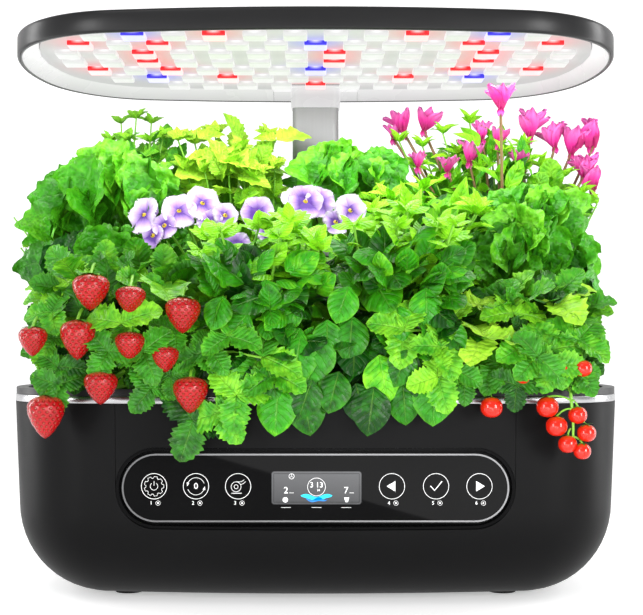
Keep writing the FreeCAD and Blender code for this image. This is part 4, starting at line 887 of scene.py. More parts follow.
def plate_mark(points):
    """Printed filled shape through (x, z) points."""
    bpy.ops.object.select_all(action="DESELECT")
    bpy.ops.mesh.primitive_circle_add(vertices=len(points), fill_type="NGON", radius=1)
    piece = bpy.context.object
    for vertex, (x, z) in zip(piece.data.vertices, points):
        vertex.co = (x, GLASS_Y - MARK_LIFT, z)
    edit(piece, (bpy.ops.mesh.extrude_region_move, {
        "TRANSFORM_OT_translate": {"value": (0, MARK_LIFT, 0)}}))
    close_up(piece)
    return piece


def spots(x, z, *points):
    """Points given in millimetres from (x, z)."""
    return [(x + across * MM, z + up * MM) for across, up in points]


def dot_mark(x, z, radius, steps):
    """Printed disc."""
    return plate_mark(arc_points(x, z, radius, steps=steps)[:-1])


def digits_mark(text, x, z, size):
    """Printed digits centred on a point."""
    bpy.ops.object.select_all(action="DESELECT")
    bpy.ops.object.text_add(rotation=(math.pi / 2, 0, 0), location=(x, GLASS_Y - MARK_LIFT, z))
    piece = bpy.context.object
    piece.data.body = text
    piece.data.size = size
    piece.data.align_x = piece.data.align_y = "CENTER"
    piece.data.extrude = MARK_LIFT / 3
    bpy.ops.object.convert(target="MESH")
    piece = bpy.context.object
    bpy.ops.object.transform_apply(location=True, rotation=True, scale=True)
    return piece


def gear_points(x, z, inner, outer, teeth):
    """Outline of a gear symbol."""
    return [polar(x, z, radius, 360 / teeth * tooth + shift) for tooth in range(teeth)
            for radius, shift in ((inner, -15), (outer, -9), (outer, 9), (inner, 15))]


def arrow_head(x, z, angle, size):
    """Small filled triangle that points along an angle."""
    return plate_mark([polar(x, z, size * reach, angle + turn)
                       for turn, reach in ((0, 1.0), (140, 0.9), (-140, 0.9))])


def touch_marks():
    """White symbols of the six touch fields, each with a small one below."""
    centre = GLASS_Z + 1.0 * MM
    gear, reset, pump, back, accept, forward = TOUCH_X
    fine = LINE * 0.85
    turn = 5.2 * MM
    marks = [ring_mark(x, centre, TOUCH_RADIUS) for x in TOUCH_X]
    marks += [
        line_mark(gear_points(gear, centre, 4.9 * MM, 6.0 * MM, 9), fine, closed=True),
        line_mark(arc_points(gear, centre, 2.3 * MM, 130, 410, 20), fine),
        line_mark(spots(gear, centre, (0, 0.4), (0, 3.0)), fine),
        digits_mark("0", reset, centre, turn),
        ring_mark(pump - 1.2 * MM, centre - 0.3 * MM, 3.0 * MM, fine, 32),
        ring_mark(pump - 1.2 * MM, centre - 0.3 * MM, 1.2 * MM, fine, 20),
        line_mark(spots(pump, centre, (-4.0, -4.2), (2.2, -4.2)), fine * 1.4),
        line_mark(spots(pump, centre, (-1.2, 2.7), (2.0, 2.7), (3.6, 3.9)), fine),
        line_mark(spots(pump, centre, (1.6, 1.0), (3.2, 1.6), (4.6, 2.8)), fine),
        line_mark(spots(accept, centre, (-3.4, 0.2), (-0.9, -2.6), (3.6, 3.0)), LINE * 2.2),
    ]
    for start in (20, 200):
        marks.append(line_mark(arc_points(reset, centre, turn, start, start + 140, 20), fine))
        marks.append(arrow_head(*polar(reset, centre, turn, start + 146), start + 236, 1.3 * MM))
    for x, way in ((back, -1), (forward, 1)):
        marks.append(plate_mark(spots(
            x, centre, (way * 3.2, 0), (-way * 2.0, 3.1), (-way * 2.0, -3.1))))
    low = GLASS_Z - 9.2 * MM
    for number, x in enumerate(TOUCH_X):
        marks += [digits_mark(str(number + 1), x - 1.8 * MM, low, 3.0 * MM),
                  ring_mark(x + 2.4 * MM, low, 1.35 * MM, fine * 0.8, 20),
                  dot_mark(x + 2.4 * MM, low, 0.5 * MM, 8)]
    return marks


def display_marks(middle, low, high):
    """White signs on the display: clock ring, digits and small symbols."""
    width = high.x - low.x
    left = middle.x - width * 0.34
    right = middle.x + width * 0.33
    fine = LINE * 0.8
    clock = (left + 3.4 * MM, middle.z + 7.0 * MM)
    marks = [
        ring_mark(middle.x, middle.z + 0.6 * MM, 5.4 * MM, LINE * 0.9),
        digits_mark("3 13", middle.x, middle.z + 1.7 * MM, 4.6 * MM),
        digits_mark("24", middle.x + 1.2 * MM, middle.z - 1.4 * MM, 1.9 * MM),
        digits_mark("2", left, middle.z - 1.6 * MM, 5.6 * MM),
        digits_mark("7", right, middle.z - 1.6 * MM, 5.6 * MM),
        dot_mark(left - 0.4 * MM, middle.z - 7.2 * MM, 1.6 * MM, 20),
        plate_mark(spots(right, middle.z, (-1.2, -5.8), (1.8, -5.8), (1.0, -8.6), (-0.4, -8.6))),
        ring_mark(*clock, 1.6 * MM, fine, 24),
    ]
    for x in (left, right):
        marks.append(line_mark(spots(x, middle.z, (2.0, -3.0), (4.8, -3.0)), fine))
    for turn in (90, 210, 330):
        marks.append(line_mark(spots(*clock, (0, 0), polar(0, 0, 1.5, turn)), fine * 0.8))
    for x in (left, middle.x, right):
        marks.append(line_mark(spots(x, low.z, (-3.0, -1.9), (3.0, -1.9)), fine * 0.9))
    return marks


def wave_plate(x, z, half, crest, depth, phase):
    """Filled band with a waving top and bottom edge."""
    top = []
    bottom = []
    steps = 24
    for step in range(steps + 1):
        share = step / steps
        way = x - half + 2 * half * share
        lift = crest * math.sin(share * 2 * math.pi * 1.5 + phase)
        taper = math.sin(math.pi * share) ** 0.5
        top.append((way, z + lift))
        bottom.append((way, z - depth * taper + lift * 0.5))
    return plate_mark(top + bottom[::-1])


def print_surface(name, grain_scale, first, second, roughness, strength):
    """Lit ink with a fine grain."""
    s = Surface(name)
    grain = s.noise(grain_scale, 2.0)
    base = s.mix(grain, rgba(first), rgba(second))
    return s.finish(grain, 0.00001, 0.2, Base_Color=base, Roughness=grain * 0.1 + roughness,
                    Emission_Color=base, Emission_Strength=strength)


class GARDEN_OT_panel(bpy.types.Operator):
    """Glass touch panel with its frame, display, symbols and the dish round it"""
    bl_idname = "garden.panel"
    bl_label = "Touch panel"

    def execute(self, context):
        paint_nodes(moulded("gloss_black_dish", (0.0028, 0.0028, 0.003), 0.26, 900.0, 0.00001, 0.5,
                            1.12), "control_bezel")
        paint_nodes(brushed("bright_line", (0.20, 0.20, 0.205), 0.3, (60.0, 60.0, 60.0)),
                    "glass_frame")
        s = Surface("black_glass")
        smear = s.noise(35.0, 5.0)
        base = s.mix(smear, rgba((0.0012, 0.0012, 0.0013)), rgba((0.0026, 0.0026, 0.0029)))
        glass = s.finish(smear, 0.00001, 0.05, Base_Color=base, Roughness=smear * 0.03 + 0.02,
                         Specular_IOR_Level=0.06)
        paint_nodes(glass, "touch_panel")

        low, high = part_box("lcd_module")
        middle = (low + high) / 2
        s = Surface("display_grey")
        dots = s.cells(2600.0)
        fade = s.axes()[2].between(low.z, high.z)
        lit = s.mix(fade, rgba((0.02, 0.02, 0.021)), rgba((0.04, 0.04, 0.042)))
        base = s.mix(fade, rgba((0.045, 0.046, 0.048)), rgba((0.085, 0.086, 0.09)))
        base = s.mix(dots * 0.2, base, rgba((0.03, 0.03, 0.032)))
        screen = s.finish(dots, 0.00001, 0.1, Base_Color=base, Roughness=dots * 0.05 + 0.2,
                          Specular_IOR_Level=0.2, Emission_Color=lit, Emission_Strength=1.0)
        paint_nodes(screen, "lcd_module")
        near, far = GLASS_Y - MARK_LIFT * 0.5, GLASS_Y + MARK_LIFT
        window = bar_between((low.x, near, low.z), (high.x, far, high.z))
        edit(window, (bpy.ops.mesh.bevel, {"offset": 1.6 * MM, "segments": 5, "affect": "EDGES",
                                           "clamp_overlap": False}))
        for vertex in window.data.vertices:
            vertex.co.y = max(min(vertex.co.y, far), near)
        close_up(window)
        settle(window, "display_window", "base", (), [screen])

        marks = join(touch_marks() + display_marks(middle, low, high))
        white = print_surface("white_print", 3000.0, (0.80, 0.80, 0.80), (0.95, 0.95, 0.95),
                              0.4, 0.45)
        settle(marks, "touch_symbols", "base", (), [white])

        waves = []
        for name, colour, drop, half, depth, phase in (
                ("wave_light", (0.0, 0.62, 0.92), 4.6, 9.6, 2.6, 0.0),
                ("wave_deep", (0.0, 0.16, 0.55), 6.4, 6.6, 2.0, 2.2)):
            wave = wave_plate(middle.x, middle.z - drop * MM, half * MM, 0.9 * MM, depth * MM,
                              phase)
            wave.data.materials.append(
                print_surface(name, 2600.0, rgba(colour, 0.8), colour, 0.35, 0.7))
            waves.append(wave)
        settle(join(waves), "display_waves", "base")
        return {"FINISHED"}


def lamp_places(letter):
    """Centres of the lamps of one colour."""
    places = []
    for row, letters in enumerate(LAMP_ROWS):
        for place, found in enumerate(letters):
            if found == letter:
                x = (place - (len(letters) - 1) / 2) * LAMP_PITCH[0]
                places.append((x, LAMP_FIRST_Y + row * LAMP_PITCH[1]))
    return places


class GARDEN_OT_hood(bpy.types.Operator):
    """Lamp hood, reflector and lamp board with painted lamp light, and the lenses"""
    bl_idname = "garden.hood"
    bl_label = "Lamp hood"

    def execute(self, context):
        strength = settings().lamp_strength
        black = moulded("satin_black_hood", settings().hood_colour, 0.32, level=0.22)
        edge = 2.4 * MM
        wall = 2.2 * MM
        rim = 0.5 * MM
        profile = [(edge * 8, HOOD_HIGH)]
        for step in range(6):
            turn = math.radians(90 * step / 5)
            profile.append((edge * (1 - math.sin(turn)), HOOD_HIGH - edge * (1 - math.cos(turn))))
        ceiling = HOOD_HIGH - 2 * MM
        profile += [(0.0, HOOD_LOW + 1.2 * MM), (rim, HOOD_LOW + rim), (wall * 0.6, HOOD_LOW),
                    (wall, HOOD_LOW + rim), (wall, ceiling), (edge * 8, ceiling)]
        hood = plan_wall(HOOD_PLAN, profile)
        fill_rims(hood)
        smooth_by_angle(hood, 40)
        settle(hood, "lamp_hood", "light", ["hood_shell"], [black])

        rim_line = plan_wall(HOOD_PLAN, [
            (wall, HOOD_LOW), (wall, HOOD_LOW + 0.9 * MM), (wall + 0.9 * MM, HOOD_LOW + 0.9 * MM),
            (wall + 0.9 * MM, HOOD_LOW), (wall, HOOD_LOW)])
        settle(rim_line, "hood_inner_line", "light", (),
               [moulded("rim_grey", (0.10, 0.10, 0.105), 0.4)])

        # Painted lamp light: the reflector and the mast cover glow as if lit by the lamps, lighter and
        # brighter nearer the board
        s = Surface("reflector_painted_lamp_light")
        cloud = s.noise(30.0, 3.0)
        height = s.axes()[2].between(HOOD_LOW, LAMP_HIGH)
        base = s.mix(height, rgba((0.12, 0.12, 0.122)), rgba((0.16, 0.16, 0.162)))
        base = s.mix(cloud * 0.2, base, rgba((0.14, 0.14, 0.145)))
        lit = s.mix(height, rgba((0.66, 0.65, 0.66)), rgba((0.86, 0.85, 0.86)))
        reflector = s.finish(cloud, 0.0001, 0.2, Base_Color=base, Roughness=cloud * 0.1 + 0.22,
                             Emission_Color=lit, Emission_Strength=0.8 * strength)
        paint_nodes(reflector, "hood_tray", "mast_cover")

        board = self.lamp_board()
        settle(board, "lamp_board_with_painted_light", "light", ["led_board"],
               [self.painted_light_board_surface(strength)])

        low = LAMP_HIGH - LAMP_HEIGHT
        half = LAMP_SIZE / 2
        for colour, face, side, power in (
                ("white", (0.66, 0.66, 0.655), (0.58, 0.58, 0.575), 1.0),
                ("red", (1.0, 0.62, 0.64), (0.72, 0.008, 0.014), 1.05),
                ("blue", (0.66, 0.64, 1.0), (0.03, 0.02, 0.62), 1.05)):
            name = colour + "_lenses"
            template = bar_between((-half, -half, low), (half, half, LAMP_HIGH))
            edit(template, (bpy.ops.mesh.subdivide, {"number_cuts": 3}))
            apply_modifier(template, "BEVEL", width=0.9 * MM, segments=2, limit_method="ANGLE")
            smooth_by_angle(template, 40)
            centre = template.data.attributes.new("middle", "FLOAT", "POINT")
            for vertex, item in zip(template.data.vertices, centre.data):
                item.value = 1 - abs(vertex.co.x) / half
            lenses = [copy_of(template, Matrix.Translation((x, y, 0)))
                      for x, y in lamp_places(colour[0].upper())]
            bpy.data.objects.remove(template)
            paint = glowing(name + "_glow", face, side, power * strength, low, LAMP_HIGH)
            settle(join(lenses), name, "light", [colour + "_leds"], [paint])

        paint_nodes(brushed("mast_alloy", (0.29, 0.29, 0.295), 0.55, (500.0, 500.0, 6.0), 0.3),
                    "mast_inner", "mast_sleeve")
        paint_nodes(moulded("bush_black", (0.02, 0.02, 0.021), 0.4),
                    "mast_bush", "mast_glide", "hood_bracket")
        return {"FINISHED"}

    @staticmethod
    def lamp_board():
        """Board inside the reflector, with painted light of the coloured lamps held in its points."""
        low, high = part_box("led_board")
        cover_low, cover_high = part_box("mast_cover")
        (side, side_radius), (corner, corner_radius), (back, back_radius) = [
            (centre, radius - BOARD_INSET) for centre, radius, _, _ in plan_arcs(HOOD_PLAN)[:3]]

        def inside_y(x):
            x = abs(x)
            limit = back.y + math.sqrt(max(0.0, back_radius ** 2 - x ** 2))
            if x > corner.x:
                reach = math.sqrt(max(0.0, corner_radius ** 2 - (x - corner.x) ** 2))
                limit = min(limit, corner.y + reach)
            far = math.sqrt(max(0.0, side_radius ** 2 - (x - side.x) ** 2))
            return max(0.0, min(limit, far + corner.y * 0.55))

        def place(u, v):
            x = u * high.x
            return (x, v * inside_y(x), LAMP_HIGH + 0.2 * MM)

        board = formed(90, 50, place)
        for letter, reach in GLOW_REACH.items():
            layer = board.data.attributes.new("glow_" + letter, "FLOAT", "POINT")
            places = lamp_places(letter)
            for vertex, item in zip(board.data.vertices, layer.data):
                glow = sum(math.exp(-((vertex.co.x - x) ** 2 + (vertex.co.y - y) ** 2) / reach ** 2)
                           for x, y in places)
                item.value = min(1.0, glow)
        edit(board, (bpy.ops.mesh.extrude_region_move, {
            "TRANSFORM_OT_translate": {"value": (0, 0, 1.2 * MM)}}))
        close_up(board)
        notch = bar_between((cover_low.x - MM, cover_low.y - MM, low.z - 5 * MM),
                            (cover_high.x + MM, 0.2, high.z + 5 * MM))
        cut_away(board, notch)
        return board

    @staticmethod
    def painted_light_board_surface(strength):
        """White board with painted lamp light: it glows in the colour of the lamps near a point."""
        s = Surface("lamp_board_painted_lamp_light")
        cloud = s.noise(40.0, 3.0)
        lit = s.mix(s.attribute("glow_W"), rgba((0.42, 0.415, 0.42)), rgba((0.64, 0.63, 0.635)))
        lit = s.mix((s.attribute("glow_R") * 0.95).clamped(), lit, rgba((0.80, 0.34, 0.37)))
        lit = s.mix((s.attribute("glow_B") * 0.95).clamped(), lit, rgba((0.36, 0.35, 0.86)))
        base = s.mix(cloud, rgba((0.13, 0.13, 0.135)), rgba((0.16, 0.16, 0.16)))
        return s.finish(cloud, 0.00005, 0.2, Base_Color=base, Roughness=cloud * 0.1 + 0.5,
                        Emission_Color=lit, Emission_Strength=strength)


def leaf_template(width, columns, rows, droop, fold, teeth, depth, wave, belly, tip, curl=0.0):
    """Leaf of length 1 from the origin along +Y, its face up.

    width is the widest half width, belly moves the widest place, tip sharpens the end, droop
    bends the length down, fold lifts the sides and curl turns the margins down.
    """
    def place(u, v):
        share = (v + 1) / 2
        half = width * math.sin(math.pi * min(1.0, share ** belly)) ** tip
        if share < 0.04:
            half = width * 0.05
        if teeth and 0.1 < share < 0.97:
            step = (share * teeth) % 1.0
            half *= 1.0 + depth * (step * 2 - 1) * abs(u)
        x = u * half
        angle = droop * share
        lift = fold * abs(x) - curl * u * u * half
        lift += wave * half * abs(u) ** 1.5 * math.sin(share * 17 + 2 * u)
        return (x, math.sin(angle) / droop, (math.cos(angle) - 1) / droop + lift)

    return formed(columns, rows, place)


def lettuce_template(seed, width, ruffle):
    """Fan-shaped leaf, blistered all over, with a deeply ruffled and notched margin."""
    draw = random.Random(seed)
    phase = [draw.uniform(0, 6.3) for _ in range(8)]

    def place(u, v):
        share = (v + 1) / 2
        spread = 0.20 + 0.80 * min(1.0, share * 1.3) ** 1.2
        angle = u * (0.75 + 0.55 * share)
        x = width * spread * math.sin(angle) * 1.05
        y = share * (1 - 0.24 * u * u)
        turn = math.atan2(x, y + 0.05)
        margin = max(abs(u) ** 3 * min(1.0, share * 1.8), max(0.0, (share - 0.66) / 0.34) ** 2)
        wave = (0.8 * math.sin(turn * 9 + phase[0]) + 0.7 * math.sin(y * 15 + phase[1] + 2.2 * u)
                + 0.6 * math.sin(turn * 17 + phase[2]) + 0.35 * math.sin(y * 25 + phase[3]))
        blister = (math.sin(x * 31 + phase[4]) * math.sin(y * 27 + phase[5])
                   + 0.6 * math.sin(x * 40 + y * 21 + phase[6]) * math.sin(y * 36 + phase[7]))
        z = ruffle * margin * wave + 0.018 * blister * min(1.0, share * 3)
        notch = 1 + 0.025 * margin * math.sin(turn * 34)
        cup = 0.30 * (1 - math.cos(angle * 1.3))
        back = -0.50 * max(0.0, share - 0.5) ** 1.5
        push = ruffle * 0.5 * margin * math.cos(turn * 9 + phase[0])
        return (x * notch + push * 0.6, y * notch + push * 0.2, z + cup + back)

    return formed(30, 24, place)


def petal_template(width, columns, rows, curve, ruffle, notch=0.0):
    """Petal of length 1 along +Y, wide near its end."""
    def place(u, v):
        share = (v + 1) / 2
        half = width * math.sin(math.pi * min(1.0, 0.06 + 0.94 * share ** 1.35) * 0.96) ** 0.62
        reach = share * (1 - 0.10 * u * u) - notch * max(0.0, share - 0.8) * (1 - abs(u))
        z = curve * share * share + ruffle * share ** 2 * math.sin(u * 7.0) * 0.5
        return (u * half, reach, z - 0.25 * u * u * half)

    return formed(columns, rows, place)


def tube_template():
    """Round tube of radius 1 and length 1 along +Z."""
    def place(u, v):
        angle = math.pi * (u + 1)
        return (math.cos(angle), math.sin(angle), (v + 1) / 2)

    return formed(6, 6, place, closed=True)


# Every kind of leaf, petal and stalk: what makes it, and that function's values
TEMPLATES = {
    "strawberry": (leaf_template, 0.40, 4, 20, 0.5, 0.32, 8, 0.17, 0.12, 0.95, 0.58),
    "basil": (leaf_template, 0.32, 4, 9, 0.75, -0.10, 0, 0.0, 0.05, 0.78, 0.85, 0.30),
    "broad": (leaf_template, 0.40, 6, 9, 0.6, -0.05, 0, 0.0, 0.10, 0.8, 0.78, 0.22),
    "mint": (leaf_template, 0.29, 4, 14, 0.5, 0.28, 6, 0.16, 0.06, 0.8, 0.85),
    "balm": (leaf_template, 0.36, 4, 16, 0.4, 0.30, 7, 0.18, 0.08, 0.72, 0.8),
    "lance": (leaf_template, 0.21, 4, 10, 0.7, 0.35, 0, 0.0, 0.08, 0.72, 0.95),
    "round": (leaf_template, 0.42, 4, 12, 0.35, 0.12, 6, 0.10, 0.12, 0.9, 0.5),
    "sepal": (leaf_template, 0.17, 2, 5, 0.8, 0.2, 0, 0.0, 0.0, 0.7, 0.9),
    "lettuce_a": (lettuce_template, 3, 0.56, 0.075),
    "lettuce_b": (lettuce_template, 5, 0.50, 0.085),
    "lettuce_c": (lettuce_template, 8, 0.60, 0.08),
    "pansy": (petal_template, 0.52, 8, 8, 0.10, 0.20, 0.3),
    "cyclamen": (petal_template, 0.24, 6, 9, 0.22, 0.16),
    "tube": (tube_template,),
}


class Bunch:
    """Leaves, petals and stalks that are copied from templates and end up as one piece."""

    templates = {}

    def __init__(self, name, seed):
        self.name = name
        self.draw = random.Random(seed + settings().seed)
        self.parts = []

    @classmethod
    def make_templates(cls):
        """Model each kind of leaf, petal and stalk once."""
        cls.templates = {name: maker(*values) for name, (maker, *values) in TEMPLATES.items()}
        for name, template in cls.templates.items():
            template.name = name
            template.hide_render = True

    @classmethod
    def remove_templates(cls):
        for template in cls.templates.values():
            bpy.data.objects.remove(template)
        cls.templates = {}

    def add(self, kind, matrix, tint, material):
        """Copy a template into place with its tint."""
        piece = copy_of(self.templates[kind], matrix)
        layer = piece.data.attributes.new("tint", "FLOAT", "POINT")
        layer.data.foreach_set("value", [tint] * len(piece.data.vertices))
        piece.data.materials.append(material)
        self.parts.append(piece)
        return piece

    def leaf(self, kind, base, direction, facing, length, tint, material, width=1.0):
        """Leaf from a point along a direction, its face turned as far as it can towards facing."""
        along = Vector(direction).normalized()
        base = self.kept_inside(Vector(base), along * length)
        normal = Vector(facing) - along * Vector(facing).dot(along)
        if normal.length < 0.05:
            normal = FRONT - along * FRONT.dot(along)
        normal.normalize()
        side = along.cross(normal)
        turn = Matrix((side * width, along, normal)).transposed().to_4x4()
        matrix = Matrix.Translation(base) @ turn @ Matrix.Scale(length, 4)
        return self.add(kind, matrix, tint, material)

    @staticmethod
    def kept_inside(base, reach):
        """Base moved so that the tip stays in the garden's box and in front of the mast."""
        for axis, room in enumerate(BOX_ROOM):
            tip = base[axis] + reach[axis]
            base[axis] -= max(0.0, tip - CAD_BOX[1][axis] + room)
            base[axis] += max(0.0, CAD_BOX[0][axis] + room - tip)
        low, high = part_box("mast_sleeve")
        for point in (base + reach, base + reach / 2, Vector(base)):
            if low.x - MAST_ROOM < point.x < high.x + MAST_ROOM:
                base.y -= max(0.0, point.y - low.y + MAST_ROOM)
        return base

    def stalk(self, start, control, end, thick, thin, material):
        """Round stalk along a curve."""
        piece = self.add("tube", None, 0.4, material)
        for vertex in piece.data.vertices:
            share = vertex.co.z
            point = on_curve(start, control, end, share)
            way = (control - start) * (1 - share) + (end - control) * share
            side = way.orthogonal().normalized()
            other = way.normalized().cross(side)
            radius = thick + (thin - thick) * share
            vertex.co = point + side * vertex.co.x * radius + other * vertex.co.y * radius

    def finish(self, slot=None, *nodes):
        """Join the parts into one piece on the base, standing for its nodes."""
        settle(join(self.parts), self.name, "base", nodes)


def tilted(azimuth, rise):
    """Direction from an angle round the upright axis and one above the level, in degrees."""
    turn, lift = math.radians(azimuth), math.radians(rise)
    flat = math.cos(lift)
    return Vector((math.cos(turn) * flat, math.sin(turn) * flat, math.sin(lift)))


def sprig(bunch, kind, base, top, pairs, length, tint, leaf_paint, first, thick=1.5):
    """Upright stem with leaves in crossed pairs and a small crown."""
    draw = bunch.draw
    base, top = Vector(base), Vector(top)
    control = (base + top) / 2 + Vector((draw.uniform(-6, 6), draw.uniform(-6, 6), 8)) * MM
    bunch.stalk(base, control, top, thick * MM, thick * 0.5 * MM, Paints.stalk)
    turn = draw.uniform(0, 180)
    for place in range(pairs):
        share = first + (1 - first) * place / max(1, pairs - 1)
        point = on_curve(base, control, top, share)
        turn += 90 + draw.uniform(-18, 18)
        size = length * (1.05 - 0.42 * share) * draw.uniform(0.85, 1.15) * MM
        for half in (0, 180):
            rise = -12 + 46 * share + draw.uniform(-14, 14)
            way = tilted(turn + half + draw.uniform(-12, 12), rise)
            facing = UP + FRONT * 0.55 + Vector((draw.uniform(-0.3, 0.3), 0, 0))
            # Painted light: leaves higher on the stem get a paler tint
            shade = clamp(tint + 0.30 * (share - 0.6) + draw.uniform(-0.12, 0.12))
            bunch.leaf(kind, point, way, facing, size, shade, leaf_paint)
    # Painted light: the crown's leaves get a paler tint still
    for place in range(5):
        way = tilted(turn + 45 + 72 * place + draw.uniform(-12, 12), 48 + draw.uniform(-10, 14))
        facing = UP * 0.8 + FRONT * 0.6 - way * 0.2
        bunch.leaf(kind, top, way, facing, length * 0.52 * draw.uniform(0.8, 1.15) * MM,
                   min(1.0, tint + 0.24), leaf_paint)


def fill_mass(bunch, kind, node, count, length, tint, leaf_paint, rise, top=0.0, span=(0, 1)):
    """Leaves all through a plant's space, with painted shade and light: dark ones inside, brighter ones
    outside and on top.
    """
    draw = bunch.draw
    low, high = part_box(node)
    reach_x = seen_reach(low, high, MASS_REACH) - 0.5 * length * MM
    low = Vector((max(low.x, -reach_x), low.y, max(low.z, DECK_HIGH + 5 * MM)))
    high = Vector((min(high.x, reach_x), high.y, high.z - top * MM))
    low.x, high.x = [low.x + (high.x - low.x) * share for share in span]
    middle = (low + high) / 2
    half = (high - low) / 2
    total = int(count * settings().fullness)
    for number in range(total):
        inner = number < total * INNER_SHARE
        cast = scatter(draw)
        out = cast / sum(abs(c) ** 3 for c in cast) ** (1 / 3)
        reach = draw.uniform(0.2, 0.62) if inner else draw.uniform(0.64, 0.90)
        point = middle + stretch(out, half) * reach
        spin = scatter(draw)
        lean = scatter(draw)
        way = out * 0.9 + spin + UP * rise
        facing = UP * 0.7 + FRONT * 0.7 + out * 0.5 + lean * 0.6
        # Painted light and shade: higher leaves get a paler tint, and the inner ones are darkened as
        # shade
        shade = tint + 0.30 * out.z * reach + draw.uniform(-0.16, 0.16)
        shade = shade * 0.25 if inner else shade
        size = length * draw.uniform(0.65, 1.2) * (1.25 if inner else 1.0)
        bunch.leaf(kind, point, way, facing, size * MM, clamp(shade), leaf_paint)


def face_axes(facing):
    """Directions across and up a face that looks along facing."""
    across = (Vector((1, 0, 0)) - facing * facing.x).normalized()
    rise = facing.cross(across)
    return across, rise if rise.z > 0 else -rise


def trefoil(bunch, x, z, depth, turn, size, tilt, tint, leaf_paint, foot, spread=112):
    """Three leaflets seen from the front at (x, z), on a stalk from the plant's foot."""
    draw = bunch.draw
    point = seen_at(max(-TREFOIL_REACH, min(TREFOIL_REACH, x)), z, depth)
    lift = math.radians(tilt)
    facing = Vector((draw.uniform(-0.25, 0.25), -math.cos(lift), math.sin(lift))).normalized()
    across, rise = face_axes(facing)
    control = (foot + point) / 2 + Vector((0, 0, 26 * MM))
    bunch.stalk(foot, control, point - facing * MM, 1.2 * MM, 0.8 * MM, Paints.stalk)
    for leaflet in (-1, 0, 1):
        angle = math.radians(turn + leaflet * spread + draw.uniform(-8, 8))
        way = across * math.cos(angle) + rise * math.sin(angle) + facing * draw.uniform(0.0, 0.25)
        length = size * draw.uniform(0.9, 1.08) * MM
        # The cluster's tint brings its painted shade and light
        shade = clamp(tint * 0.82 + draw.uniform(-0.12, 0.12))
        bunch.leaf("strawberry", point, way, facing + way * 0.1, length, shade, leaf_paint)


def hanging_leaf(bunch, kind, x, z, depth, turn, length, tilt, tint, leaf_paint):
    """Single leaf seen from the front: it starts at (x, z) and points along an angle."""
    point = seen_at(x, z, depth)
    lift = math.radians(tilt)
    facing = Vector((0.0, -math.cos(lift), math.sin(lift)))
    rise = Vector((0.0, math.sin(lift), math.cos(lift)))
    angle = math.radians(turn)
    way = Vector((1, 0, 0)) * math.cos(angle) + rise * math.sin(angle)
    bunch.leaf(kind, point, way, facing, length * MM, tint, leaf_paint)


def pod(column, row):
    """Point in the middle of a pod, on top of its sponge."""
    low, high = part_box("grow_sponges")
    return Vector((low.x + POD_INSET + column * POD_PITCH[0],
                   low.y + POD_INSET + row * POD_PITCH[1], high.z))


class Paints:
    """The plants' materials, made once."""

    @classmethod
    def make(cls):
        g = settings()
        deep, fresh, pale = g.leaf_deep, g.leaf_fresh, g.leaf_pale
        # In each leaf paint the number after the shine, and in each petal paint the last number, is the
        # strength of its painted glow
        cls.leaf = leaf_surface("leaf_green", deep, fresh, pale, 7.0, 0.42, 0.05)
        cls.glossy = leaf_surface("basil_green", (0.002, 0.042, 0.001), (0.026, 0.28, 0.004),
                                  (0.32, 0.80, 0.018), 6.0, 0.34, 0.06, blister=0.12, gloss=0.22)
        cls.young = leaf_surface("young_green", (0.03, 0.19, 0.004), (0.17, 0.50, 0.012),
                                 (0.44, 0.78, 0.045), 7.0, 0.42, 0.08)
        cls.salad = leaf_surface("lettuce_green", (0.004, 0.07, 0.002), (0.048, 0.35, 0.007),
                                 (0.26, 0.72, 0.03), 3.0, 0.36, 0.05, 0.10, 0.18, 0.5)
        cls.stalk = stalk_surface("stalk_green", (0.13, 0.40, 0.02), (0.24, 0.52, 0.04))
        cls.rib = stalk_surface("lettuce_rib", (0.30, 0.62, 0.10), (0.50, 0.72, 0.25))
        cls.red_stalk = stalk_surface("stalk_red", (0.25, 0.05, 0.05), (0.20, 0.22, 0.05))
        cls.pansy = petal_surface("pansy_petal", (0.09, 0.02, 0.30), (0.44, 0.26, 0.68),
                                  g.lilac, 0.08)
        cls.cyclamen = petal_surface("cyclamen_petal", (0.40, 0.003, 0.12), (0.70, 0.018, 0.30),
                                     g.magenta, 0.07)
        cls.eye = stalk_surface("flower_eye", (0.85, 0.55, 0.02), (0.55, 0.45, 0.03))


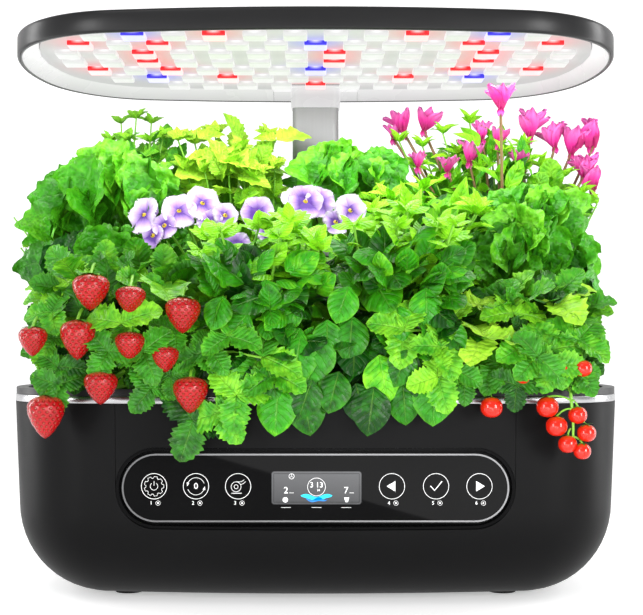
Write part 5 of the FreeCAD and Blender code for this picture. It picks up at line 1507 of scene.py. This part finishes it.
class GARDEN_OT_strawberry_plant(bpy.types.Operator):
    """Strawberry plant at the front left, its leaves over the rim"""
    bl_idname = "garden.strawberry_plant"
    bl_label = "Strawberry plant"

    def execute(self, context):
        bunch = Bunch("strawberry_leaves", 11)
        foot = pod(0, 0)
        # Each cluster: x, z, depth, turn, size, tilt and tint; the tint sets how pale the leaves are,
        # with painted shade and light, low for shaded leaves and high for lit ones
        clusters = (
            (-116, 174, -128, 270, 27, 35, 0.80), (-124, 157, -126, 240, 22, 20, 0.40),
            (-103, 157, -126, 290, 22, 20, 0.35), (-170, 181, -110, 180, 20, 40, 0.65),
            (-167, 165, -112, 250, 18, 20, 0.55), (-170, 148, -114, 250, 17, 20, 0.60),
            (-154, 148, -118, 250, 20, 20, 0.25), (-154, 137, -121, 270, 18, 15, 0.25),
            (-52, 166, -120, 330, 22, 40, 0.60), (-32, 154, -126, 340, 26, 35, 0.65),
            (-25, 144, -124, 330, 22, 30, 0.50), (-62, 157, -120, 300, 20, 25, 0.35),
            (-69, 156, -118, 200, 16, 25, 0.40), (-98, 135, -124, 240, 18, 15, 0.30),
            (-86, 142, -122, 270, 16, 15, 0.30), (-47, 131, -126, 20, 24, 15, 0.70),
            (-56, 121, -124, 300, 24, 10, 0.55), (-73, 116, -121, 250, 28, 5, 0.12),
            (-93, 198, -90, 180, 34, 72, 0.90), (-53, 192, -84, 90, 20, 30, 0.85),
            (-147, 198, -88, 120, 24, 60, 0.95), (-164, 194, -84, 150, 22, 50, 0.90),
            (-129, 203, -80, 100, 24, 60, 0.95), (-75, 205, -76, 60, 22, 50, 0.90),
            (-152, 181, -96, 200, 18, 30, 0.70), (-66, 188, -92, 60, 20, 40, 0.80),
            (-84, 170, -112, 280, 18, 30, 0.60), (-41, 143, -112, 300, 20, 20, 0.30),
            (-110, 190, -70, 60, 26, 55, 0.75), (-178, 190, -70, 170, 20, 50, 0.75),
            (-100, 150, -95, 250, 24, 30, 0.20), (-140, 150, -95, 270, 24, 30, 0.20),
            (-60, 175, -80, 0, 24, 40, 0.45), (-175, 160, -90, 200, 20, 40, 0.45),
        )
        for x, z, depth, turn, size, tilt, tint in clusters:
            trefoil(bunch, x, z, depth, turn, size, tilt, tint, Paints.leaf, foot)
        fill_mass(bunch, "strawberry", "strawberry_plant", 230, 21, 0.26, Paints.leaf, 0.3)
        bunch.finish("leaf", "strawberry_plant")
        return {"FINISHED"}


class GARDEN_OT_basil_plants(bpy.types.Operator):
    """Two basil plants at the front and the tall one behind them"""
    bl_idname = "garden.basil_plants"
    bl_label = "Basil plants"

    def execute(self, context):
        # Big leaves over the rim: x, z, turn, length and shade, the shade being each leaf's painted
        # shade and light
        self.front("sweet_basil_leaves", "sweet_basil_plant", pod(1, 0), 21, 0.36, 36, (
            (-9, 166, 262, 30, 0.30), (0, 152, 250, 34, 0.28), (-22, 136, 265, 30, 0.42),
            (-8, 136, 280, 30, 0.12), (-7, 183, 200, 22, 0.40), (-9, 171, 240, 24, 0.35),
            (-40, 180, 230, 24, 0.35), (-55, 190, 250, 22, 0.40), (-30, 200, 280, 24, 0.45),
            (-2, 140, 250, 26, 0.10), (-30, 150, 290, 24, 0.22)))
        self.front("broadleaf_basil_leaves", "broadleaf_basil_plant", pod(2, 0), 22, 0.32, 26, (
            (5, 168, 245, 34, 0.26), (22, 178, 265, 28, 0.22), (7, 176, 270, 22, 0.30),
            (38, 155, 280, 30, 0.62), (24, 138, 285, 27, 0.0), (35, 136, 262, 30, 0.02),
            (71, 146, 268, 34, 0.36), (62, 160, 225, 28, 0.14), (55, 158, 250, 24, 0.18),
            (48, 185, 280, 24, 0.40), (66, 195, 270, 26, 0.45), (20, 196, 250, 24, 0.42),
            (76, 176, 300, 24, 0.30), (14, 145, 255, 26, 0.16), (52, 138, 275, 26, 0.2)))
        self.tall()
        return {"FINISHED"}

    @staticmethod
    def front(name, node, foot, seed, tint, bare_top, big_leaves):
        """Broad leaves low down, darkened as painted shade, sprigs above them with paler tints as
        painted light, and big leaves over the rim.
        """
        bunch = Bunch(name, seed)
        draw = bunch.draw
        low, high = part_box(node)
        fill_mass(bunch, "broad", node, 210, 27, tint - 0.26, Paints.glossy, -0.3, bare_top)
        fill_mass(bunch, "basil", node, 170, 20, tint + 0.05, Paints.glossy, 0.3, bare_top - 8)
        for _ in range(20):
            across = draw.uniform(0.05, 0.95)
            depth = draw.uniform(0.12, 0.9)
            top = Vector((low.x + (high.x - low.x) * across, low.y + (high.y - low.y) * depth,
                          high.z - (4 + 34 * abs(across - 0.5) + draw.uniform(0, 22)) * MM))
            base = foot + Vector((draw.uniform(-8, 8), draw.uniform(-8, 8), 4)) * MM
            sprig(bunch, "basil", base, top, 5, 24, tint + 0.40, Paints.glossy, 0.45)
        for x, z, turn, length, shade in big_leaves:
            depth = (-122 if z < 160 else -118) + draw.uniform(-3, 3)
            hanging_leaf(bunch, "broad", x, z, depth, turn, length, 8 + draw.uniform(0, 14),
                         shade, Paints.glossy)
        bunch.finish("leaf", node)

    @staticmethod
    def tall():
        """Upright sprigs of narrow leaves all over the plant's space."""
        bunch = Bunch("tall_basil_leaves", 23)
        draw = bunch.draw
        low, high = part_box("tall_basil_plant")
        fill_mass(bunch, "lance", "tall_basil_plant", 380, 25, 0.56, Paints.glossy, 0.3, 16)
        foot = pod(2, 1)
        for _ in range(22):
            across = draw.uniform(-0.1, 1.1)
            depth = draw.uniform(0, 1)
            top = Vector((low.x + (high.x - low.x) * across, low.y + (high.y - low.y) * depth,
                          high.z - (4 + 30 * abs(across - 0.5) + draw.uniform(0, 30)) * MM))
            base = foot + Vector((draw.uniform(-6, 6), draw.uniform(-6, 6), 4)) * MM
            sprig(bunch, "lance", base, top, 6, 30, 0.86, Paints.glossy, 0.4)
        bunch.finish("leaf", "tall_basil_plant")


class GARDEN_OT_tomato_plant(bpy.types.Operator):
    """Cherry tomato plant at the front right"""
    bl_idname = "garden.tomato_plant"
    bl_label = "Tomato plant"

    def execute(self, context):
        bunch = Bunch("tomato_leaves", 31)
        foot = pod(3, 0)
        # Each cluster: x, z, depth, turn, size, tilt and tint; the tint sets how pale the leaves are,
        # with painted shade and light, low for shaded leaves and high for lit ones
        clusters = (
            (53, 170, -124, 170, 25, 30, 0.80), (75, 160, -124, 190, 22, 30, 0.75),
            (80, 175, -112, 150, 20, 40, 0.85), (97, 185, -96, 60, 20, 50, 1.0),
            (118, 180, -104, 100, 22, 45, 0.80), (142, 187, -92, 30, 30, 60, 1.0),
            (100, 166, -120, 0, 30, 65, 1.0), (125, 160, -120, 320, 22, 35, 0.70),
            (133, 154, -126, 225, 22, 20, 0.50), (141, 150, -122, 250, 20, 12, 0.75),
            (141, 158, -118, 20, 24, 30, 0.60), (162, 146, -118, 260, 15, 15, 0.50),
            (172, 153, -108, 320, 20, 25, 0.35), (172, 146, -108, 290, 15, 15, 0.60),
            (120, 137, -122, 265, 18, 8, 0.10), (84, 146, -122, 230, 18, 20, 0.50),
            (88, 140, -122, 280, 15, 15, 0.30), (73, 142, -126, 190, 22, 15, 0.85),
            (157, 164, -110, 60, 24, 40, 0.65), (180, 168, -92, 340, 22, 40, 0.70),
            (110, 150, -112, 250, 22, 25, 0.30), (165, 145, -118, 200, 20, 20, 0.30),
            (155, 180, -84, 80, 22, 50, 0.90), (178, 182, -76, 30, 22, 50, 0.80),
            (100, 145, -96, 250, 24, 30, 0.15), (150, 150, -96, 280, 24, 30, 0.20),
            (128, 174, -80, 120, 24, 45, 0.75),
        )
        for x, z, depth, turn, size, tilt, tint in clusters:
            paint = Paints.young if tint > 0.9 else Paints.leaf
            trefoil(bunch, x, z, depth, turn, size, tilt, tint, paint, foot, 98)
        fill_mass(bunch, "strawberry", "tomato_plant", 240, 20, 0.28, Paints.leaf, 0.3)
        bunch.finish("leaf", "tomato_plant")
        return {"FINISHED"}


class GARDEN_OT_lettuces(bpy.types.Operator):
    """Three lettuces with ruffled leaves"""
    bl_idname = "garden.lettuces"
    bl_label = "Lettuces"

    def execute(self, context):
        self.head("green_lettuce_leaves", "green_lettuce_plant", pod(0, 1), 41, 120, 37)
        self.head("frilled_lettuce_leaves", "frilled_lettuce_plant", pod(3, 1), 42, 120, 34)
        self.head("back_lettuce_leaves", "back_lettuce_plant", pod(2, 2), 43, 96, 33)
        return {"FINISHED"}

    @staticmethod
    def head(name, node, foot, seed, count, size):
        """Ruffled leaves all over a dome in the plant's space, on pale ribs from the pod."""
        bunch = Bunch(name, seed)
        draw = bunch.draw
        low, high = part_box(node)
        cap_low, cap_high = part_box("fill_cap")
        reach_x = seen_reach(low, high, LETTUCE_REACH)
        low.x, high.x = max(low.x, -reach_x), min(high.x, reach_x)
        middle = (low + high) / 2
        half = (high - low) / 2
        neck = Vector((foot.x, foot.y, max(foot.z, DECK_HIGH)))
        for number in range(int(count * settings().fullness)):
            azimuth = number * GOLDEN_ANGLE + draw.uniform(-20, 20)
            out = tilted(azimuth, math.degrees(math.asin(draw.uniform(-0.72, 0.93))))
            length = size * draw.uniform(0.7, 1.35) * MM
            reach = 0.86 - length / max(half.x, half.z) * 0.36
            point = middle + stretch(out, half) * reach - UP * length * 0.35
            way = out * 0.42 + UP * 0.9 + scatter(draw, 0.35)
            facing = out + FRONT * 0.5 - UP * 0.1 + scatter(draw, 0.4)
            # Painted light and shade: leaves higher on the dome get a paler tint
            shade = 0.28 + 0.34 * out.z + draw.uniform(-0.24, 0.24)
            if all(near - CAP_ROOM < place < far + CAP_ROOM
                   for near, place, far in zip(cap_low, point, cap_high)):
                continue
            bunch.leaf("lettuce_" + "abc"[number % 3], point, way, facing, length,
                       clamp(shade), Paints.salad, draw.uniform(0.85, 1.1))
            if number % 3 == 0:
                bunch.stalk(neck, (neck + point) / 2 + out * 6 * MM, point + way * length * 0.2,
                            3.2 * MM, 1.6 * MM, Paints.rib)
        bunch.finish("leaf", node)


def pansy_flower(bunch, x, z, depth, size, turn, side, tint):
    """Five petals round a yellow eye, seen from the front at (x, z)."""
    draw = bunch.draw
    point = seen_at(x, z, depth)
    facing = Vector((side, -1.0, 0.25 + draw.uniform(-0.1, 0.15))).normalized()
    across, rise = face_axes(facing)
    for angle, share, lift in ((125, 0.95, -1.0), (55, 0.95, -0.8), (178, 0.9, 0.0),
                               (2, 0.9, 0.2), (270, 1.05, 0.6)):
        way_angle = math.radians(angle + turn)
        way = across * math.cos(way_angle) + rise * math.sin(way_angle) + facing * 0.12
        bunch.leaf("pansy", point + facing * lift * MM, way, facing, size * share * MM,
                   tint + draw.uniform(-0.1, 0.1), Paints.pansy, 1.15)
    bunch.stalk(point + facing * 0.2 * MM, point + facing * 1.2 * MM, point + facing * 2.0 * MM,
                1.8 * MM, 0.6 * MM, Paints.eye)
    foot = pod(1, 1)
    bunch.stalk(foot, (foot + point) / 2 + UP * 20 * MM, point - facing * MM,
                1.1 * MM, 0.9 * MM, Paints.stalk)


class GARDEN_OT_pansy(bpy.types.Operator):
    """Lilac pansies in the middle row"""
    bl_idname = "garden.pansy"
    bl_label = "Pansies"

    def execute(self, context):
        leaves = Bunch("pansy_leaves", 51)
        draw = leaves.draw
        fill_mass(leaves, "round", "pansy_plant", 240, 19, 0.34, Paints.leaf, 0.2, 30)
        low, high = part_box("pansy_plant")
        for _ in range(12):
            top = Vector((draw.uniform(low.x + 8 * MM, high.x - 8 * MM),
                          draw.uniform(low.y, high.y), high.z - draw.uniform(18, 44) * MM))
            sprig(leaves, "mint", pod(1, 1), top, 5, 20, 0.62, Paints.leaf, 0.5, 1.2)
        leaves.finish("leaf", "pansy_plant")
        flowers = Bunch("pansy_flowers", 52)
        for x, z, depth, size, turn, side, tint in (
                (-34.5, 239.5, -38, 13.5, 0, -0.1, 0.05), (-6.0, 246.3, -34, 14.0, 8, 0.2, 0.0),
                (-102.0, 238.3, -36, 14.5, -12, -0.7, 0.30), (-81.4, 240.6, -40, 14.0, 12, 0.1, 0.40),
                (-67.6, 245.2, -36, 14.0, -6, 0.4, 0.36), (-63.0, 234.0, -42, 10.5, 20, 0.1, 0.10),
                (-47.1, 220.0, -46, 11.5, 0, 0.1, 0.0), (-29.0, 227.2, -44, 9.0, 30, 0.4, 0.15),
                (-17.6, 227.2, -44, 8.5, -20, -0.3, 0.2), (-1.5, 215.9, -42, 12.5, 10, 0.2, 0.45),
                (2.4, 246.1, -30, 12.5, -14, 0.3, 0.10), (20.6, 240.9, -34, 13.5, 14, 0.5, 0.42),
                (30.7, 229.6, -36, 10.0, 0, 0.6, 0.15), (-2.7, 211.1, -44, 11.5, -8, 0.0, 0.45),
                (-90.0, 232.0, -44, 10.0, 30, -0.2, 0.1), (-97.0, 226.0, -44, 9.5, -30, -0.4, 0.0),
                (-54.0, 238.0, -40, 10.5, 10, 0.4, 0.3), (12.0, 234.0, -40, 10.5, 10, 0.3, 0.2)):
            pansy_flower(flowers, x, z, depth, size, turn, side, tint)
        flowers.finish()
        return {"FINISHED"}


class GARDEN_OT_back_herbs(bpy.types.Operator):
    """Mint and lemon balm at the back left"""
    bl_idname = "garden.back_herbs"
    bl_label = "Back herbs"

    def execute(self, context):
        mint = Bunch("mint_leaves", 61)
        draw = mint.draw
        fill_mass(mint, "mint", "mint_plant", 300, 19, 0.40, Paints.leaf, 0.4, 14, span=(0.42, 1.0))
        fill_mass(mint, "mint", "mint_plant", 220, 18, 0.20, Paints.leaf, 0.2, 74, span=(0.0, 0.55))
        foot = pod(0, 2)
        for x, z, depth in ((-116, 296, 90), (-107, 299, 84), (-98, 296, 96), (-122, 285, 70),
                            (-112, 286, 60), (-99, 285, 66), (-91, 287, 74), (-128, 272, 60),
                            (-134, 262, 60), (-146, 258, 66), (-140, 270, 90), (-158, 250, 70),
                            (-168, 244, 60), (-172, 232, 50), (-176, 222, 44), (-164, 228, 40),
                            (-180, 240, 80), (-172, 212, 38), (-120, 268, 50)):
            sprig(mint, "mint", foot, seen_at(x, z - 3, depth), 6, 19, 0.66, Paints.leaf,
                  0.45 + draw.uniform(0, 0.1), 1.2)
        mint.finish("leaf", "mint_plant")

        balm = Bunch("lemon_balm_leaves", 62)
        fill_mass(balm, "balm", "lemon_balm_plant", 380, 22, 0.50, Paints.young, 0.3, 8)
        foot = pod(1, 2)
        for x, z, depth in ((-82, 287, 60), (-72, 285, 66), (-60, 290, 74), (-44, 280, 58),
                            (-28, 288, 70), (-52, 270, 50), (-36, 266, 48), (-66, 268, 46),
                            (-78, 270, 50), (-24, 270, 60)):
            sprig(balm, "balm", foot, seen_at(x, z - 4, depth), 5, 25, 0.75, Paints.young, 0.5, 1.3)
        # Hanging leaves: x, z, depth, turn, length and tint; the high tints are partly painted light on
        # these top leaves
        for x, z, depth, turn, length, tint in (
                (-23, 283, 58, 28, 30, 0.9), (-24, 283, 58, 152, 20, 0.9), (-70, 284, 56, 35, 24, 0.8),
                (-72, 284, 56, 150, 20, 0.8), (-58, 273, 50, -12, 34, 1.0), (-60, 273, 50, 170, 24, 0.9),
                (-84, 262, 46, 10, 30, 0.95), (-46, 262, 46, -20, 26, 0.8)):
            hanging_leaf(balm, "balm", x, z, depth, turn, length, 50, tint, Paints.young)
        balm.finish("leaf", "lemon_balm_plant")
        return {"FINISHED"}


def cyclamen_flower(bunch, x, z, depth, size, lean, tint):
    """Upswept petals over a nodding heart, seen from the front at (x, z)."""
    draw = bunch.draw
    point = seen_at(x, z, depth)
    for place in range(6):
        azimuth = 60 * place + draw.uniform(-14, 14) - 90
        spread = draw.uniform(0.15, 0.62)
        way = UP + tilted(azimuth, 0) * spread + Vector((lean, 0, 0))
        facing = tilted(azimuth, 0) + FRONT * 0.5
        length = size * draw.uniform(0.86, 1.08) * MM
        bunch.leaf("cyclamen", point - UP * 2 * MM, way, facing, length,
                   tint + draw.uniform(-0.1, 0.35), Paints.cyclamen)
    for place in range(4):
        way = tilted(90 * place + 40, -62)
        bunch.leaf("cyclamen", point, way, -UP, 6.5 * MM, 0.0, Paints.cyclamen, 1.3)
    foot = pod(3, 2)
    bunch.stalk(foot, (foot + point) / 2 + UP * 34 * MM, point - UP * MM,
                1.2 * MM, 1.0 * MM, Paints.red_stalk)


class GARDEN_OT_cyclamen(bpy.types.Operator):
    """Magenta cyclamens at the back right"""
    bl_idname = "garden.cyclamen"
    bl_label = "Cyclamens"

    def execute(self, context):
        leaves = Bunch("cyclamen_leaves", 71)
        draw = leaves.draw
        fill_mass(leaves, "lance", "cyclamen_plant", 300, 24, 0.46, Paints.glossy, 0.4, 14,
                  span=(0.0, 0.75))
        fill_mass(leaves, "round", "cyclamen_plant", 260, 20, 0.36, Paints.leaf, 0.2, 44)
        foot = pod(3, 2)
        for x, z, depth in ((50, 287, 84), (64, 284, 80), (76, 292, 74), (92, 298, 78),
                            (84, 280, 66), (104, 290, 74), (112, 280, 66), (124, 284, 70),
                            (98, 270, 60), (134, 272, 66), (148, 266, 66), (116, 266, 58),
                            (60, 272, 66), (158, 256, 60), (72, 262, 56), (168, 250, 60)):
            sprig(leaves, "lance", foot, seen_at(x, z - 5, depth), 5, 25, 0.78, Paints.glossy,
                  0.5 + draw.uniform(0, 0.1), 1.2)
        leaves.finish("leaf", "cyclamen_plant")
        flowers = Bunch("cyclamen_flowers", 72)
        for x, z, depth, size, lean, tint in (
                (110.5, 303, 2, 21, 0.10, 0.15), (53.0, 288, 88, 20, -0.25, 0.0),
                (64.5, 290, 86, 19, 0.30, 0.1), (128.0, 286, 76, 24, 0.10, 0.35),
                (143.0, 280, 80, 20, -0.25, 0.5),
                (152.5, 276, 78, 24, 0.15, 0.25), (166.0, 280, 74, 26, 0.10, 0.0),
                (163.0, 262, 70, 20, -0.10, 0.1), (166.5, 255, 66, 21, 0.0, 0.3),
                (91.6, 271, 60, 18, 0.2, 0.3), (78.8, 265, 58, 14, -0.1, 0.3),
                (99.5, 285, 70, 16, 0.0, 0.3), (108.6, 282, 68, 15, 0.2, 0.1),
                (61.3, 268, 60, 13, 0.0, 0.35), (46.5, 285, 92, 13, 0.0, 0.35),
                (122.0, 268, 64, 15, 0.1, 0.2), (160.0, 262, 66, 18, -0.1, 0.35)):
            cyclamen_flower(flowers, x, z, depth, size, lean, tint)
        flowers.finish()
        return {"FINISHED"}


def fruit_body(rows, centre, radius, length, profile, wobble):
    """Turned fruit from (share of the length from the top, share of the radius) pairs."""
    def width_at(share):
        for (near, wide), (far, narrow) in zip(profile, profile[1:]):
            if share <= far:
                blend = (share - near) / (far - near)
                blend = blend * blend * (3 - 2 * blend) * 0.4 + blend * 0.6
                return wide + (narrow - wide) * blend
        return profile[-1][1]

    def place(u, v):
        angle = math.pi * (u + 1)
        share = (1 - v) / 2
        wide = radius * width_at(share) * (1 + wobble * math.sin(3 * angle + 2 * share))
        return (centre.x + wide * math.cos(angle), centre.y + wide * math.sin(angle),
                centre.z + length * (0.5 - share))

    return formed(24, rows, place, closed=True)


class GARDEN_OT_fruit(bpy.types.Operator):
    """Strawberries and cherry tomatoes with their calyces and stalks"""
    bl_idname = "garden.fruit"
    bl_label = "Fruit"

    def execute(self, context):
        red = settings().berry_red
        skin = berry_surface("strawberry_skin", red, [c * 0.55 for c in red], (0.62, 0.20, 0.04))
        bunch = Bunch("strawberry_fruit", 81)
        draw = bunch.draw
        profile = ((0.0, 0.0), (0.03, 0.42), (0.10, 0.80), (0.24, 1.0), (0.42, 0.97), (0.62, 0.78),
                   (0.82, 0.48), (0.95, 0.20), (1.0, 0.0))
        for x, z, radius, length in BERRIES:
            centre = Vector((x * MM, BERRY_Y, z * MM))
            body = fruit_body(18, centre, radius * MM, length * MM, profile, 0.03)
            body.data.materials.append(skin)
            bunch.parts.append(body)
            top = centre + UP * (length / 2 - 0.8) * MM
            for place in range(8):
                way = tilted(45 * place + draw.uniform(-10, 10), draw.uniform(-30, 25))
                bunch.leaf("sepal", top, way, UP, radius * 0.95 * MM, draw.uniform(0.3, 0.7),
                           Paints.leaf, 1.4)
            back = top + Vector((draw.uniform(-5, 5), 32, 8)) * MM
            bunch.stalk(top, top + Vector((0, 12, 9)) * MM, back, 0.9 * MM, 1.0 * MM, Paints.stalk)
        bunch.finish("strawberry", "strawberries")

        skin = tomato_surface("tomato_skin", (0.60, 0.014, 0.004), (0.72, 0.12, 0.012))
        bunch = Bunch("tomato_fruit", 82)
        profile = ((0.0, 0.0), (0.015, 0.25), (0.06, 0.5), (0.16, 0.78), (0.32, 0.96), (0.5, 1.0),
                   (0.68, 0.95), (0.84, 0.76), (0.94, 0.48), (0.985, 0.24), (1.0, 0.0))
        top, bottom = [Vector((x * MM, TOMATO_Y, z * MM)) for x, z in TRUSS]
        bunch.stalk(top + Vector((-4, 30, 16)) * MM, top + UP * 12 * MM, top,
                    1.2 * MM, 1.0 * MM, Paints.stalk)
        bunch.stalk(top, (top + bottom) / 2 + Vector((1, -1, 0)) * MM, bottom,
                    1.0 * MM, 0.7 * MM, Paints.stalk)
        for x, z, radius in TOMATOES:
            centre = Vector((x * MM, TOMATO_Y, z * MM))
            body = fruit_body(16, centre, radius * MM, radius * 1.9 * MM, profile, 0.01)
            body.data.materials.append(skin)
            bunch.parts.append(body)
            cap = centre + UP * radius * 0.92 * MM
            for place in range(5):
                way = tilted(72 * place + draw.uniform(-10, 10), draw.uniform(-12, 30))
                bunch.leaf("sepal", cap, way, UP, radius * 0.85 * MM, draw.uniform(0.3, 0.6),
                           Paints.leaf)
            joint = cap + Vector((0, 20, 14)) * MM
            if abs(x * MM - top.x) < 22 * MM and z * MM < top.z:
                joint = Vector((top.x, TOMATO_Y - MM, min(top.z, (z + radius * 1.6) * MM)))
            bunch.stalk(joint, (joint + cap) / 2 + UP * 3 * MM, cap, 0.6 * MM, 0.6 * MM,
                        Paints.stalk)
        bunch.finish("tomato", "cherry_tomatoes")
        return {"FINISHED"}


def soft_box(name, place, aim, size, power):
    """Rectangular light at a place, turned towards a point and hidden from the camera."""
    lamp = bpy.data.lights.new(name, "AREA")
    lamp.shape = "RECTANGLE"
    lamp.size, lamp.size_y = size
    lamp.energy = power
    holder = linked(name, lamp)
    holder.location = place
    holder.rotation_euler = (Vector(aim) - Vector(place)).to_track_quat("-Z", "Y").to_euler()
    holder.visible_camera = False
    return holder


class GARDEN_OT_stage(bpy.types.Operator):
    """Pale floor, soft lights and the camera"""
    bl_idname = "garden.stage"
    bl_label = "Stage"

    def execute(self, context):
        flat, bend = 1.2, 0.8

        def sweep(u, v):
            along = 3.2 * v + 0.8
            turn = max(0.0, min(math.pi / 2, (along - flat) / bend))
            climb = max(0.0, along - flat - bend * math.pi / 2)
            far = min(along, flat) + bend * math.sin(turn)
            return (u * 5.0, far, bend * (1 - math.cos(turn)) + climb)

        floor = formed(8, 64, sweep)
        floor.name = "pale_floor"
        s = Surface("pale_floor_paint")
        cloud = s.noise(4.0, 3.0)
        base = s.mix(cloud, rgba((0.90, 0.90, 0.90)), rgba((0.94, 0.94, 0.94)))
        floor.data.materials.append(s.finish(
            cloud, 0.0001, 0.1, Base_Color=base, Roughness=cloud * 0.1 + 0.6,
            Specular_IOR_Level=0.2, Emission_Color=base, Emission_Strength=0.42))

        world = bpy.data.worlds.new("soft_room")
        world.use_nodes = True
        sky = world.node_tree.nodes["Background"]
        sky.inputs["Color"].default_value = (1.0, 1.0, 1.0, 1.0)
        sky.inputs["Strength"].default_value = 0.55
        bpy.context.scene.world = world
        bpy.context.scene.view_settings.view_transform = "Standard"
        for name, place, aim, size, power in (
                ("key", (-0.4, -0.9, 1.2), (0, 0, 0.2), (0.6, 0.6), 3.0),
                ("left_box", (-0.85, -0.95, 0.26), (0, 0, 0.12), (0.35, 0.45), 6.4),
                ("right_box", (0.85, -0.95, 0.26), (0, 0, 0.12), (0.35, 0.45), 9.0),
                ("left_strip", (-0.75, 0.10, 0.25), (-0.2, 0, 0.1), (0.10, 0.7), 3.0),
                ("right_strip", (0.75, 0.10, 0.25), (0.2, 0, 0.1), (0.10, 0.7), 3.0),
                ("under_hood", (0, -0.025, 0.346), (0, -0.025, 0), (0.34, 0.12), 0.62)):
            soft_box(name, place, aim, size, power)
        # A slanted light that the glass mirrors, straight in front of it
        place = (0.0424, GLASS_Y - 0.30, 0.0774)
        card = soft_box("glass_card", place, (place[0], 0, place[2]), (0.32, 0.09), 0.32)
        card.rotation_euler.rotate_axis("Z", math.radians(-16.3))
        card.visible_shadow = False

        data = bpy.data.cameras.new("camera")
        data.lens = LENS_MM
        data.sensor_width = 36.0
        data.sensor_fit = "HORIZONTAL"
        data.shift_x, data.shift_y = SHIFT
        data.clip_start = 0.01
        data.clip_end = 50.0
        camera = linked("camera", data)
        camera.location = EYE
        camera.rotation_euler = (math.pi / 2, 0, 0)
        bpy.context.scene.camera = camera
        return {"FINISHED"}


STEPS = (
    GARDEN_OT_stage, GARDEN_OT_casing, GARDEN_OT_sponges, GARDEN_OT_panel, GARDEN_OT_hood,
    GARDEN_OT_strawberry_plant, GARDEN_OT_basil_plants, GARDEN_OT_tomato_plant, GARDEN_OT_lettuces,
    GARDEN_OT_pansy, GARDEN_OT_back_herbs, GARDEN_OT_cyclamen, GARDEN_OT_fruit,
)


class GARDEN_PT_panel(bpy.types.Panel):
    """Settings and steps of the garden"""
    bl_idname = "GARDEN_PT_panel"
    bl_label = "Hydroponic garden"
    bl_space_type = "VIEW_3D"
    bl_region_type = "UI"
    bl_category = "Garden"

    def draw(self, context):
        garden = context.scene.garden
        for name in garden.bl_rna.properties.keys():
            if name not in ("rna_type", "name"):
                self.layout.prop(garden, name)
        for step in STEPS:
            self.layout.operator(step.bl_idname)


CLASSES = (GardenSettings,) + STEPS + (GARDEN_PT_panel,)


def register():
    for cls in CLASSES:
        bpy.utils.register_class(cls)
    bpy.types.Scene.garden = PointerProperty(type=GardenSettings)


def unregister():
    del bpy.types.Scene.garden
    for cls in reversed(CLASSES):
        bpy.utils.unregister_class(cls)


def main():
    register()
    Paints.make()
    Bunch.make_templates()
    for step in STEPS:
        group, name = step.bl_idname.split(".")
        getattr(getattr(bpy.ops, group), name)()
    Bunch.remove_templates()


if __name__ == "__main__":
    main()
